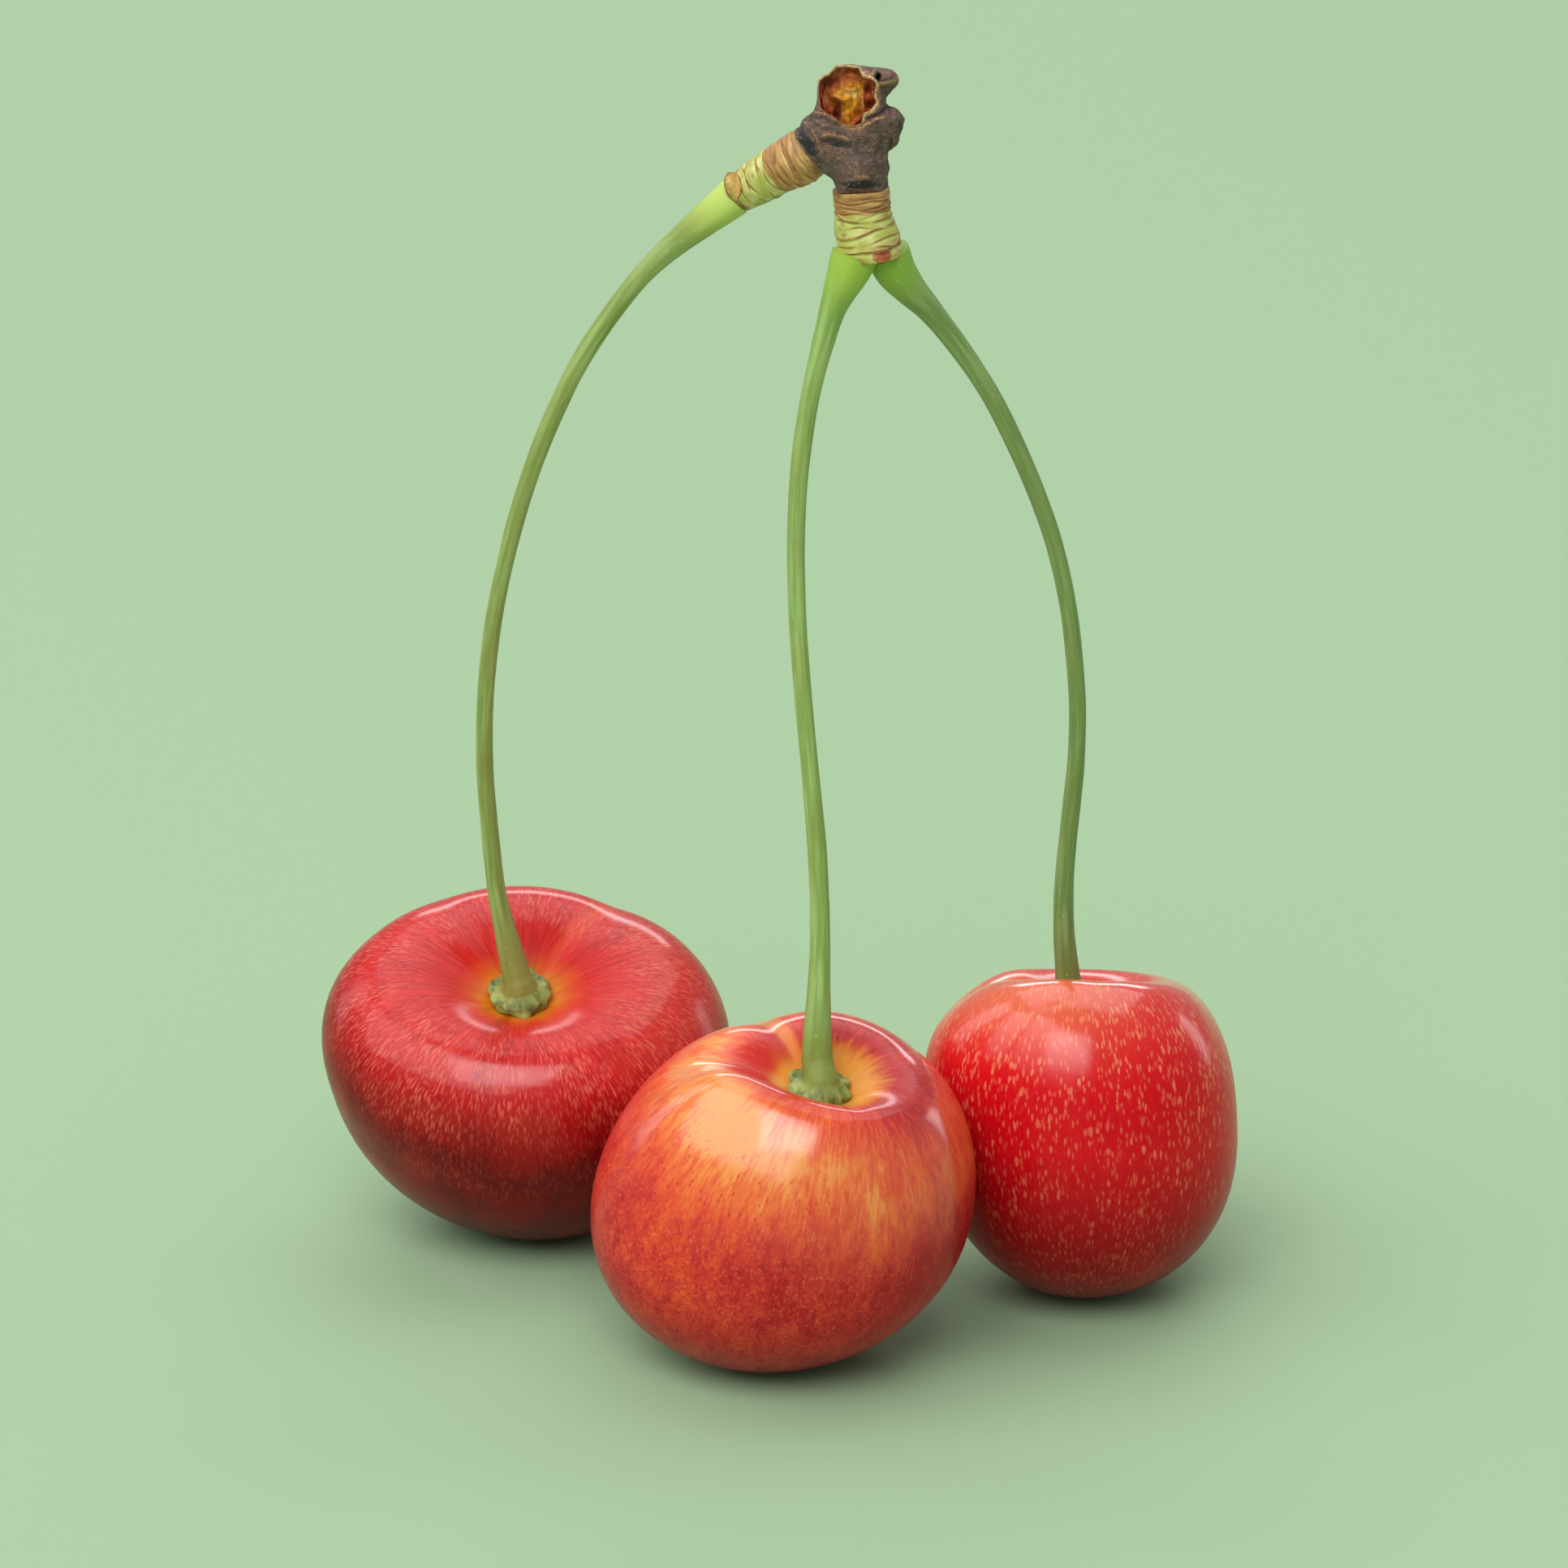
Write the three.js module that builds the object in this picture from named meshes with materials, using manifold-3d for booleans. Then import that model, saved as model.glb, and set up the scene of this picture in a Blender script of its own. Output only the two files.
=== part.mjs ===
// Three cherries on their stalks, joined at one woody spur, standing on the three fruits.
// Millimetres, +Z up, +Y to the back. Nine grown pieces: three fruits, three stalks with
// their receptacle discs, two ringed shoots and the spur they grew from.
import * as THREE from "three";
import { mergeVertices } from "three/addons/utils/BufferGeometryUtils.js";
import Module from "manifold-3d";

const wasm = await Module();
wasm.setup();

// ---- driving dimensions ---------------------------------------------------------------
const ORIGIN = [0.357, -10.492, 0]; // moves the bunch so that its box is centred on the origin
const FRUIT_ROUND = 40; // facets around a fruit
const FRUIT_RISE = 32; // facets from its base to the floor of its stalk cavity
const STALK_ROUND = 12;
const FOOT_GAP = 0.42; // between a receptacle disc and the cavity floor
const SETTLE = 0.14; // how far a soft fruit's underside is flattened where it rests

// Each fruit: pos = centre, tilt = lean of its axis towards +X and +Y in degrees, a and b =
// half widths, ct and cb = heights above and below the widest band, nt and nb = fullness of
// the shoulder and of the base, D and sg = depth and relative width of the stalk cavity.
// wide = stretches where the cavity is wider: [angle, width in degrees, how much].
// swell = lobes and dips of its rim: [angle, width in degrees, radius, its width, height in mm].
const FRUITS = {
  left: {
    pos: [-16.16, 19.98, 11.51], tilt: [-0.28, -26.51],
    a: 12.83, b: 11.19, ct: 9.44, cb: 11.7, nt: 2.506, nb: 2.173,
    taper: 0.0776, tpx: -0.0604, tpy: 0.0015, pinch: 0.0062, pnx: 0,
    D: 3.6, sg: 0.45, cvx: 0.0106, cvy: 0.0731, qr: 0.6,
    rim: [-0.35, 90], suture: [62, 16, 0.5, 0.15], tipDimple: 0.2,
    cavX: -0.45, shear: 0, color: 0x9c1420,
    wide: [], swell: [],
  },
  front: {
    pos: [0.2, 0.8, 10.76], tilt: [8.35, -16.29],
    a: 11.55, b: 11.05, ct: 11.79, cb: 10.99, nt: 2.129, nb: 2.01,
    taper: -0.0663, tpx: 0, tpy: 0, pinch: 0.0233, pnx: 0.09,
    D: 4.12, sg: 0.407, cvx: -0.12, cvy: -0.04, qr: 0.6,
    rim: [0.3, 150], suture: [118, 18, 0.7, 0.2], tipDimple: 0.2,
    cavX: 0, shear: 0.1158, color: 0xc8502a,
    wide: [[-105, 55, -0.14], [172, 26, 0.35]],
    swell: [
      [-140, 40, 0.45, 0.18, 0.7], [-166, 20, 0.64, 0.24, 0.75],
      [-58, 40, 0.45, 0.2, 0.55], [160, 15, 0.58, 0.26, -0.6],
    ],
  },
  right: {
    pos: [18.8, 11.45, 10.61], tilt: [-1.31, 12.76],
    a: 9.75, b: 10.5, ct: 10.68, cb: 10.7, nt: 2.619, nb: 2.179,
    taper: 0.0528, tpx: -0.0632, tpy: 0.0039, pinch: 0.0066, pnx: 0,
    D: 3.8, sg: 0.4185, cvx: 0.1233, cvy: -0.0106, qr: 0.6,
    rim: [0.2, 0], suture: [-80, 14, 0.1, 0.03], tipDimple: 0.2,
    cavX: 0, shear: 0, color: 0xb3121c,
    wide: [[172, 24, 0.2]],
    swell: [
      [-90, 72, 0.55, 0.28, 1.1], [172, 17, 0.62, 0.3, -0.9],
      [90, 60, 0.5, 0.3, -0.1], [138, 22, 0.6, 0.3, 0.15],
    ],
  },
};

// Each stalk: centre line from its flared top down to just above the fruit, [x, y, z, radius].
const STALKS = {
  left: [
    [-3.03, 12.01, 70.68, 1.22], [-4.1, 12.06, 69.87, 1.05], [-5.91, 12.15, 68.37, 0.83],
    [-7.29, 12.24, 67.13, 0.69], [-8.47, 12.33, 65.89, 0.61], [-10.11, 12.52, 63.75, 0.59],
    [-11.51, 12.71, 61.64, 0.58], [-12.67, 12.92, 59.53, 0.56], [-14.55, 13.39, 55.26, 0.55],
    [-16.01, 13.9, 50.94, 0.53], [-17.13, 14.43, 46.57, 0.52], [-17.96, 14.97, 42.17, 0.53],
    [-18.44, 15.5, 37.73, 0.52], [-18.57, 16.01, 33.26, 0.54], [-18.43, 16.36, 29.89, 0.55],
    [-18.19, 16.68, 26.52, 0.56], [-17.93, 16.9, 24.0, 0.6], [-17.45, 17.05, 21.4, 0.72],
    [-17.05, 17.0, 19.6, 0.84],
  ],
  front: [
    [4.03, 9.45, 67.3, 1.2], [3.78, 9.37, 66.7, 1.12], [3.06, 9.08, 64.7, 0.78],
    [2.48, 8.76, 62.74, 0.66], [1.98, 8.41, 60.81, 0.59], [1.58, 8.03, 58.9, 0.57],
    [1.05, 7.22, 55.12, 0.56], [0.85, 6.32, 51.36, 0.54], [0.89, 5.37, 47.57, 0.54],
    [0.98, 4.87, 45.67, 0.54], [1.27, 3.87, 41.86, 0.53], [1.64, 2.87, 38.03, 0.53],
    [1.83, 2.37, 36.09, 0.55], [2.08, 1.64, 33.19, 0.59], [2.25, 0.95, 30.29, 0.59],
    [2.29, 0.51, 28.35, 0.61], [2.27, 0.09, 26.41, 0.64], [2.21, -0.31, 24.44, 0.71],
    [2.13, -0.77, 21.95, 0.86], [2.11, -1.07, 20.21, 0.96],
  ],
  right: [
    [6.6, 10.7, 67.42, 1.2], [7.05, 10.79, 66.32, 1.08], [8.8, 10.84, 64.24, 0.76],
    [10.39, 10.87, 62.19, 0.65], [11.78, 10.91, 60.14, 0.59], [12.98, 10.95, 58.07, 0.58],
    [14.89, 11.04, 53.93, 0.55], [16.43, 11.14, 49.75, 0.53], [17.43, 11.24, 45.54, 0.52],
    [17.98, 11.35, 41.3, 0.52], [18.18, 11.43, 38.1, 0.52], [18.13, 11.51, 34.88, 0.54],
    [17.96, 11.56, 32.73, 0.55], [17.6, 11.68, 28.41, 0.58], [17.5, 11.76, 26.24, 0.61],
    [17.55, 11.9, 23.52, 0.66], [17.75, 12.1, 21.33, 0.74], [18.0, 12.3, 19.5, 0.85],
  ],
};
// Receptacle disc at a stalk's foot: [height above the foot, radius].
const DISC = [
  [0, 0.6], [0.16, 1.25], [0.36, 1.72], [0.62, 1.9], [0.86, 1.84], [1.04, 1.5], [1.25, 1.12], [1.7, 0.98],
];
const FOOT_RADIUS = 0.9; // of the stalk just above its disc

const SPUR_AXIS = [
  [4.71, 10.0, 71.85, 1.6], [4.56, 10.0, 72.9, 1.72], [4.4, 10.0, 74.1, 1.98],
  [4.26, 10.0, 75.2, 2.2], [4.2, 10.0, 76.5, 2.18], [4.2, 10.0, 77.9, 2.12],
  [4.3, 10.0, 78.8, 1.8], [4.35, 10.0, 79.3, 1.2],
];
const BRANCH_AXIS = [[4.3, 10.0, 75.3, 1.2], [3.2, 10.05, 75.0, 1.3], [2.3, 10.15, 74.6, 1.36], [1.85, 10.25, 74.28, 1.36]];
const SHOOT_LEFT_AXIS = [
  [1.68, 10.3, 74.14, 1.36], [1.0, 10.5, 73.68, 1.5], [0.1, 10.8, 73.1, 1.52],
  [-1.17, 11.4, 72.17, 1.56], [-2.1, 11.8, 71.42, 1.45], [-2.75, 11.98, 70.92, 1.26],
];
const SHOOT_RIGHT_AXIS = [
  [4.73, 10.0, 71.6, 1.62], [4.8, 10.0, 70.7, 1.7], [4.95, 10.0, 69.6, 1.92],
  [5.22, 10.0, 68.5, 2.12], [5.28, 10.02, 67.95, 2.2],
];

// ---- helpers ----------------------------------------------------------------------------
const rad = THREE.MathUtils.degToRad;
const V = (p) => new THREE.Vector3(p[0], p[1], p[2]);
const smooth = (x) => {
  const t = Math.min(1, Math.max(0, x));
  return t * t * (3 - 2 * t);
};

function solid(geometry) {
  let g = geometry.index ? geometry.toNonIndexed() : geometry;
  g = new THREE.BufferGeometry().setAttribute("position", g.getAttribute("position"));
  g = mergeVertices(g, 1e-4);
  return new wasm.Manifold(
    new wasm.Mesh({
      numProp: 3,
      vertProperties: g.attributes.position.array,
      triVerts: new Uint32Array(g.index.array),
    }),
  );
}

function geometryOf(manifold) {
  const m = manifold.getMesh(),
    n = m.numProp,
    v = new Float32Array(m.numVert * 3);
  for (let i = 0; i < m.numVert; i++)
    v.set(m.vertProperties.subarray(i * n, i * n + 3), i * 3);
  const g = new THREE.BufferGeometry();
  g.setAttribute("position", new THREE.BufferAttribute(v, 3));
  g.setIndex(new THREE.BufferAttribute(new Uint32Array(m.triVerts), 1));
  return g;
}

// A fruit's own axes: u roughly +X, v roughly +Y, w from its base to its stalk.
function axesOf(f) {
  const w = new THREE.Vector3(Math.tan(rad(f.tilt[0])), Math.tan(rad(f.tilt[1])), 1).normalize();
  const u = new THREE.Vector3(1, 0, 0).addScaledVector(w, -w.x).normalize();
  return { u, v: new THREE.Vector3().crossVectors(w, u), w };
}

// The angle from one meridian to another, in radians, within half a turn either way.
function turn(phi, degrees) {
  let d = (phi - rad(degrees) + Math.PI) % (2 * Math.PI);
  if (d < 0) d += 2 * Math.PI;
  return d - Math.PI;
}

// A point of a fruit's skin, in its own axes. th runs from 0 at the base to PI in the cavity.
function skin(f, phi, th) {
  const s = Math.sin(th),
    c = -Math.cos(th),
    top = c > 0,
    n = top ? f.nt : f.nb;
  const rr = Math.pow(Math.abs(s), 2 / n),
    hh = Math.sign(c) * Math.pow(Math.abs(c), 2 / n);
  const cp = Math.cos(phi),
    sp = Math.sin(phi);
  const low = Math.max(0, -hh);
  const q = rr * (1 + (f.taper + f.tpx * cp + f.tpy * sp) * hh - (f.pinch + f.pnx * cp) * low * low);
  let x = f.a * q * cp,
    y = f.b * q * sp,
    h = (top ? f.ct : f.cb) * hh;
  const up = smooth(c / 0.25);
  let sg = f.sg * (1 + f.cvx * cp + f.cvy * sp);
  for (const [deg, w, amount] of f.wide) sg *= 1 + amount * Math.exp(-((turn(phi, deg) / rad(w)) ** 2));
  h -= f.D * Math.exp(-((q / sg) ** 2)) * up;
  const g = (q / f.qr) ** 2 * Math.exp(1 - (q / f.qr) ** 2) * up;
  h += g * f.rim[0] * Math.cos(phi - rad(f.rim[1]));
  for (const [deg, w, q0, qw, by] of f.swell)
    h += by * Math.exp(-((turn(phi, deg) / rad(w)) ** 2) - ((q - q0) / qw) ** 2) * up;
  const [at, wide, notch, crease] = f.suture;
  const d = turn(phi, at);
  h -= notch * Math.exp(-((d / rad(wide)) ** 2)) * g;
  const cr = crease * Math.exp(-((d / rad(wide * 0.45)) ** 2)) * Math.max(0, s);
  x -= cr * cp;
  y -= cr * sp;
  if (!top) h += f.tipDimple * Math.exp(-((q / 0.16) ** 2));
  x += f.cavX * Math.exp(-((q / 0.5) ** 2)) * up + f.shear * h;
  return [x, y, h];
}

function place(f, p) {
  const { u, v, w } = axesOf(f);
  return V(f.pos).addScaledVector(u, p[0]).addScaledVector(v, p[1]).addScaledVector(w, p[2]);
}

function fruit(f) {
  const g = new THREE.SphereGeometry(1, FRUIT_ROUND, FRUIT_RISE);
  const pos = g.getAttribute("position"),
    uv = g.getAttribute("uv");
  for (let i = 0; i < pos.count; i++) {
    const col = Math.round(uv.getX(i) * FRUIT_ROUND) % FRUIT_ROUND,
      t = Math.round(uv.getY(i) * FRUIT_RISE) / FRUIT_RISE;
    const pole = t === 0 || t === 1;
    const phi = pole ? 0 : (col / FRUIT_ROUND) * 2 * Math.PI + Math.PI;
    const th = pole ? Math.PI * t : Math.PI * (t - 0.055 * Math.sin(2 * Math.PI * t));
    const p = place(f, skin(f, phi, th));
    pos.setXYZ(i, p.x, p.y, p.z);
  }
  const s = solid(g);
  const floor = s.boundingBox().min[2] + SETTLE;
  return geometryOf(s.trimByPlane([0, 0, 1], floor).translate([0, 0, -floor]));
}

// How far a fruit was lifted when its underside was flattened.
function liftOf(f) {
  let low = Infinity;
  for (let i = 0; i <= 60; i++)
    for (let j = 0; j < 120; j++)
      low = Math.min(low, place(f, skin(f, (j / 120) * 2 * Math.PI, (i / 60) * Math.PI)).z);
  return -(low + SETTLE);
}

// A round stem swept along points [x, y, z, radius]. rows = [distance from its end, radius]
// fixes the profile near the end, and beyond them it follows the points. ripple(s, angle)
// scales the radius.
function stem(points, round, rows, step, ripple = () => 1) {
  const curve = new THREE.CatmullRomCurve3(points.map(V), false, "centripetal");
  curve.arcLengthDivisions = 600;
  const length = curve.getLength();
  const stations = rows.map(([s]) => s);
  const from = stations.length ? stations[stations.length - 1] : 0;
  const more = Math.max(2, Math.round((length - from) / step));
  if (!stations.length) stations.push(0);
  for (let i = 1; i <= more; i++) stations.push(from + ((length - from) * i) / more);
  const radius = (s) => {
    for (let i = 1; i < rows.length; i++)
      if (s <= rows[i][0] + 1e-9)
        return THREE.MathUtils.mapLinear(s, rows[i - 1][0], rows[i][0], rows[i - 1][1], rows[i][1]);
    const t = curve.getUtoTmapping(THREE.MathUtils.clamp(1 - s / length, 0, 1)) * (points.length - 1);
    const k = Math.min(points.length - 2, Math.floor(t));
    return THREE.MathUtils.lerp(points[k][3], points[k + 1][3], t - k);
  };
  // frames carried along from the end so that the facets don't twist
  const frames = [];
  let side = null;
  for (const s of stations) {
    const u = THREE.MathUtils.clamp(1 - s / length, 0, 1);
    const at = curve.getPointAt(u),
      along = curve.getTangentAt(u).negate();
    if (!side) side = new THREE.Vector3(1, 0, 0);
    side = side.clone().addScaledVector(along, -side.dot(along)).normalize();
    frames.push({ at, side, other: new THREE.Vector3().crossVectors(along, side), r: radius(s), s });
  }
  const last = stations.length - 1;
  const g = new THREE.CylinderGeometry(1, 1, 1, round, last, false);
  const pos = g.getAttribute("position");
  for (let i = 0; i < pos.count; i++) {
    const f = frames[Math.round((pos.getY(i) + 0.5) * last)];
    const x = pos.getX(i),
      z = pos.getZ(i);
    const centre = Math.hypot(x, z) < 0.5;
    const k = Math.round((Math.atan2(x, z) / (2 * Math.PI)) * round);
    const a = ((((k % round) + round) % round) / round) * 2 * Math.PI;
    const r = centre ? 0 : f.r * ripple(f.s, a, length);
    const p = f.at.clone().addScaledVector(f.side, r * Math.cos(a)).addScaledVector(f.other, r * Math.sin(a));
    pos.setXYZ(i, p.x, p.y, p.z);
  }
  return g;
}

function stalk(name) {
  const f = FRUITS[name],
    { w } = axesOf(f);
  const foot = place(f, skin(f, 0, Math.PI));
  foot.z += liftOf(f);
  const end = foot.clone().addScaledVector(w, FOOT_GAP),
    neck = foot.clone().addScaledVector(w, FOOT_GAP + 1.1);
  const points = [
    ...STALKS[name],
    [neck.x, neck.y, neck.z, FOOT_RADIUS + 0.05],
    [end.x, end.y, end.z, FOOT_RADIUS + 0.05],
  ];
  const lumps = (s, a) => (s > 0.1 && s < 1.1 ? 1 + 0.045 * Math.cos(5 * a + 1) : 1);
  return stem(points, STALK_ROUND, DISC, 1.5, lumps);
}

// Close-set growth rings: narrow swellings with grooves between them.
const rings = (pitch, high, lean) => (s, a) =>
  1 + high * Math.sin((2 * Math.PI * s) / pitch + lean * Math.cos(a)) + 0.5 * high * Math.cos(3 * a + s);

function ball(at, r, scale = [1, 1, 1], turn = [0, 0, 0], w = 16, h = 12) {
  const g = new THREE.SphereGeometry(r, w, h).scale(...scale);
  g.rotateX(rad(turn[0])).rotateY(rad(turn[1])).rotateZ(rad(turn[2]));
  return solid(g.translate(...at));
}

// Slow wandering of the bark, the same for every solid that shares a point.
function gnarl(g, size) {
  const pos = g.getAttribute("position");
  for (let i = 0; i < pos.count; i++) {
    const x = pos.getX(i),
      y = pos.getY(i),
      z = pos.getZ(i);
    pos.setXYZ(
      i,
      x + size * Math.sin(2.1 * z + 1.3 * y + 0.4),
      y + size * Math.sin(1.9 * x + 2.3 * z + 1.7),
      z + 0.6 * size * Math.sin(2.6 * x + 1.1 * y),
    );
  }
  return g;
}

function spur() {
  const bark = (s, a) => 1 + 0.05 * Math.sin(2.6 * s + 2 * a) + 0.04 * Math.cos(4 * a + 1.7 * s);
  let body = solid(stem(SPUR_AXIS, 22, [], 0.5, bark));
  body = body.add(solid(stem(BRANCH_AXIS, 16, [], 0.6, bark)));
  // rough lips where the two shoots break out of the bark
  const lipL = new THREE.TorusGeometry(1.3, 0.24, 6, 18)
    .applyQuaternion(new THREE.Quaternion().setFromUnitVectors(new THREE.Vector3(0, 0, 1), new THREE.Vector3(-0.8, 0.15, -0.57).normalize()))
    .translate(2.05, 10.2, 74.42);
  const lipB = new THREE.TorusGeometry(1.5, 0.24, 6, 20).translate(4.68, 10, 72.15);
  body = body.add(solid(lipL)).add(solid(lipB));
  body = body.add(ball([6.2, 9.7, 75.9], 1.0, [0.8, 0.95, 1.35], [0, 8, 0])); // dormant bud
  body = body.add(ball([5.35, 9.6, 78.55], 1.25, [1.15, 0.95, 0.52], [0, 20, 0])); // bark flap
  body = body.add(ball([2.75, 10.3, 76.6], 1.2, [0.75, 0.95, 1.4])); // shoulder beside the tear
  // the torn, resin-filled face, scooped out of the front
  body = body.subtract(ball([3.7, 7.35, 77.75], 1.55, [1.0, 0.9, 1.12], [8, 18, 0], 20, 14));
  return gnarl(geometryOf(body), 0.1);
}

// ---- assembly ---------------------------------------------------------------------------
const group = new THREE.Group();
function put(name, geometry, color, roughness) {
  geometry.translate(...ORIGIN);
  geometry.computeVertexNormals();
  const mesh = new THREE.Mesh(geometry, new THREE.MeshStandardMaterial({ color, roughness, metalness: 0 }));
  mesh.name = name;
  group.add(mesh);
}
for (const name of ["left", "front", "right"]) {
  put("cherry_" + name, fruit(FRUITS[name]), FRUITS[name].color, 0.25);
  put("stalk_" + name, stalk(name), 0x86963c, 0.6);
}
put("shoot_left", stem(SHOOT_LEFT_AXIS, 16, [], 0.26, rings(0.78, 0.035, 0.5)), 0x93894a, 0.75);
put("shoot_right", stem(SHOOT_RIGHT_AXIS, 18, [], 0.26, rings(0.72, 0.03, 0.4)), 0x93894a, 0.75);
put("spur", spur(), 0x54423d, 0.9);

export default group;
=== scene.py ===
import math

import bpy
import numpy as np
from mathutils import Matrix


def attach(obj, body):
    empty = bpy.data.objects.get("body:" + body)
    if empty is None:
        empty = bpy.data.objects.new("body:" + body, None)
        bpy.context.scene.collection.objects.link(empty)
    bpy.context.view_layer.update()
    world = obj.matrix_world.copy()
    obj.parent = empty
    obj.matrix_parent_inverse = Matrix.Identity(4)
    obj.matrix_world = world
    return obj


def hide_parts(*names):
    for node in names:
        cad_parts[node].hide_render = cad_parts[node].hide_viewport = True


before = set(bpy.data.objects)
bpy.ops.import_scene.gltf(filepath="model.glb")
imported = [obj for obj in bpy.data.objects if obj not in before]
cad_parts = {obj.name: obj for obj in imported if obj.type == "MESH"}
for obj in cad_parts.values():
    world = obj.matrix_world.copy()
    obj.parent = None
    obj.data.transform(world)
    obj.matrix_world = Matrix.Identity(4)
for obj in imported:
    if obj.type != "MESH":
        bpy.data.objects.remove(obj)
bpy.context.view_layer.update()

MM = 0.001
SHIFT = np.array([0.357, -10.492, 0.0])  # the bunch's box centred on the origin, as in the solids
SETTLE = 0.14
FOOT_GAP = 0.42

# ------------------------------------------------------------------ camera, light and floor
scene = bpy.context.scene
cam_data = bpy.data.cameras.new("camera")
cam = bpy.data.objects.new("camera", cam_data)
scene.collection.objects.link(cam)
cam_data.lens = 168.4
cam_data.sensor_width = 36.0
cam_data.clip_start = 0.01
cam_data.dof.use_dof = False
cam.location = (0.000457, -0.424841, 0.188497)
cam.rotation_euler = (math.radians(70.0), 0.0, 0.0)
scene.camera = cam
scene.view_settings.view_transform = "Standard"
scene.view_settings.look = "None"
scene.render.film_transparent = False


def lin(r, g, b, a=1.0):
    def f(v):
        v /= 255.0
        return v / 12.92 if v <= 0.04045 else ((v + 0.055) / 1.055) ** 2.4
    return (f(r), f(g), f(b), a)


def area(name, at, look, size, size_y, watts, colour=(1, 1, 1)):
    data = bpy.data.lights.new(name, "AREA")
    data.shape = "RECTANGLE"
    data.size, data.size_y, data.energy, data.color = size, size_y, watts, colour
    ob = bpy.data.objects.new(name, data)
    scene.collection.objects.link(ob)
    ob.location = at
    from mathutils import Vector
    d = Vector(look) - Vector(at)
    ob.rotation_euler = d.to_track_quat("-Z", "Y").to_euler()
    return ob


def toward(x, y, z, far):
    k = far / math.sqrt(x * x + y * y + z * z)
    return (x * k, y * k, z * k + 0.015)


AIM = (0.0, 0.0, 0.015)
area("key", toward(-0.505, -0.455, 0.73, 2.2), AIM, 3.7, 1.75, 38.0, (1.0, 0.99, 0.97))
area("core", toward(-0.11, -0.63, 0.76, 2.1), AIM, 1.38, 1.2, 16.0)
area("top", toward(0.02, 0.36, 0.92, 2.2), AIM, 2.6, 1.9, 18.0)
area("back", toward(0.05, 0.88, 0.47, 1.9), AIM, 1.3, 0.28, 6.5)
area("rim_right", toward(0.84, 0.53, 0.04, 1.7), AIM, 0.32, 1.25, 2.6)
area("rim_left", toward(-0.78, 0.50, 0.42, 1.7), AIM, 0.4, 1.2, 2.2)

world = bpy.data.worlds.new("studio")
world.use_nodes = True
scene.world = world
bg = world.node_tree.nodes["Background"]
bg.inputs["Color"].default_value = (0.97, 1.0, 0.97, 1.0)
bg.inputs["Strength"].default_value = 0.315

# ------------------------------------------------------------------ repeatable noise
_rng = np.random.default_rng(11)
_TABLE = _rng.random((32, 32, 32))


def vnoise(p, scale):
    q = np.asarray(p) * scale + 64.0
    i = np.floor(q).astype(int)
    f = q - i
    f = f * f * (3 - 2 * f)
    x0, y0, z0 = (i[..., k] % 32 for k in range(3))
    x1, y1, z1 = ((i[..., k] + 1) % 32 for k in range(3))
    fx, fy, fz = f[..., 0], f[..., 1], f[..., 2]
    a = _TABLE[x0, y0, z0] * (1 - fx) + _TABLE[x1, y0, z0] * fx
    b = _TABLE[x0, y1, z0] * (1 - fx) + _TABLE[x1, y1, z0] * fx
    c = _TABLE[x0, y0, z1] * (1 - fx) + _TABLE[x1, y0, z1] * fx
    d = _TABLE[x0, y1, z1] * (1 - fx) + _TABLE[x1, y1, z1] * fx
    return 2 * ((a * (1 - fy) + b * fy) * (1 - fz) + (c * (1 - fy) + d * fy) * fz) - 1


def fbm(p, scale, octaves=3):
    out, amp = 0.0, 1.0
    for k in range(octaves):
        out = out + amp * vnoise(np.asarray(p) + 7.3 * k, scale * 2 ** k)
        amp *= 0.5
    return out / 1.75


def smooth(x):
    t = np.clip(x, 0.0, 1.0)
    return t * t * (3 - 2 * t)


# ------------------------------------------------------------------ mesh and material helpers
def make_mesh(name, verts, faces, attrs=None):
    me = bpy.data.meshes.new(name)
    me.from_pydata([tuple(v) for v in (np.asarray(verts) * MM)], [], [tuple(int(i) for i in f) for f in faces])
    me.validate()
    me.shade_smooth()
    for key, data in (attrs or {}).items():
        data = np.asarray(data, dtype=np.float32)
        kind = "FLOAT_VECTOR" if data.ndim == 2 else "FLOAT"
        at = me.attributes.new(key, kind, "POINT")
        at.data.foreach_set("vector" if data.ndim == 2 else "value", data.ravel())
    ob = bpy.data.objects.new(name, me)
    scene.collection.objects.link(ob)
    return ob


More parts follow.
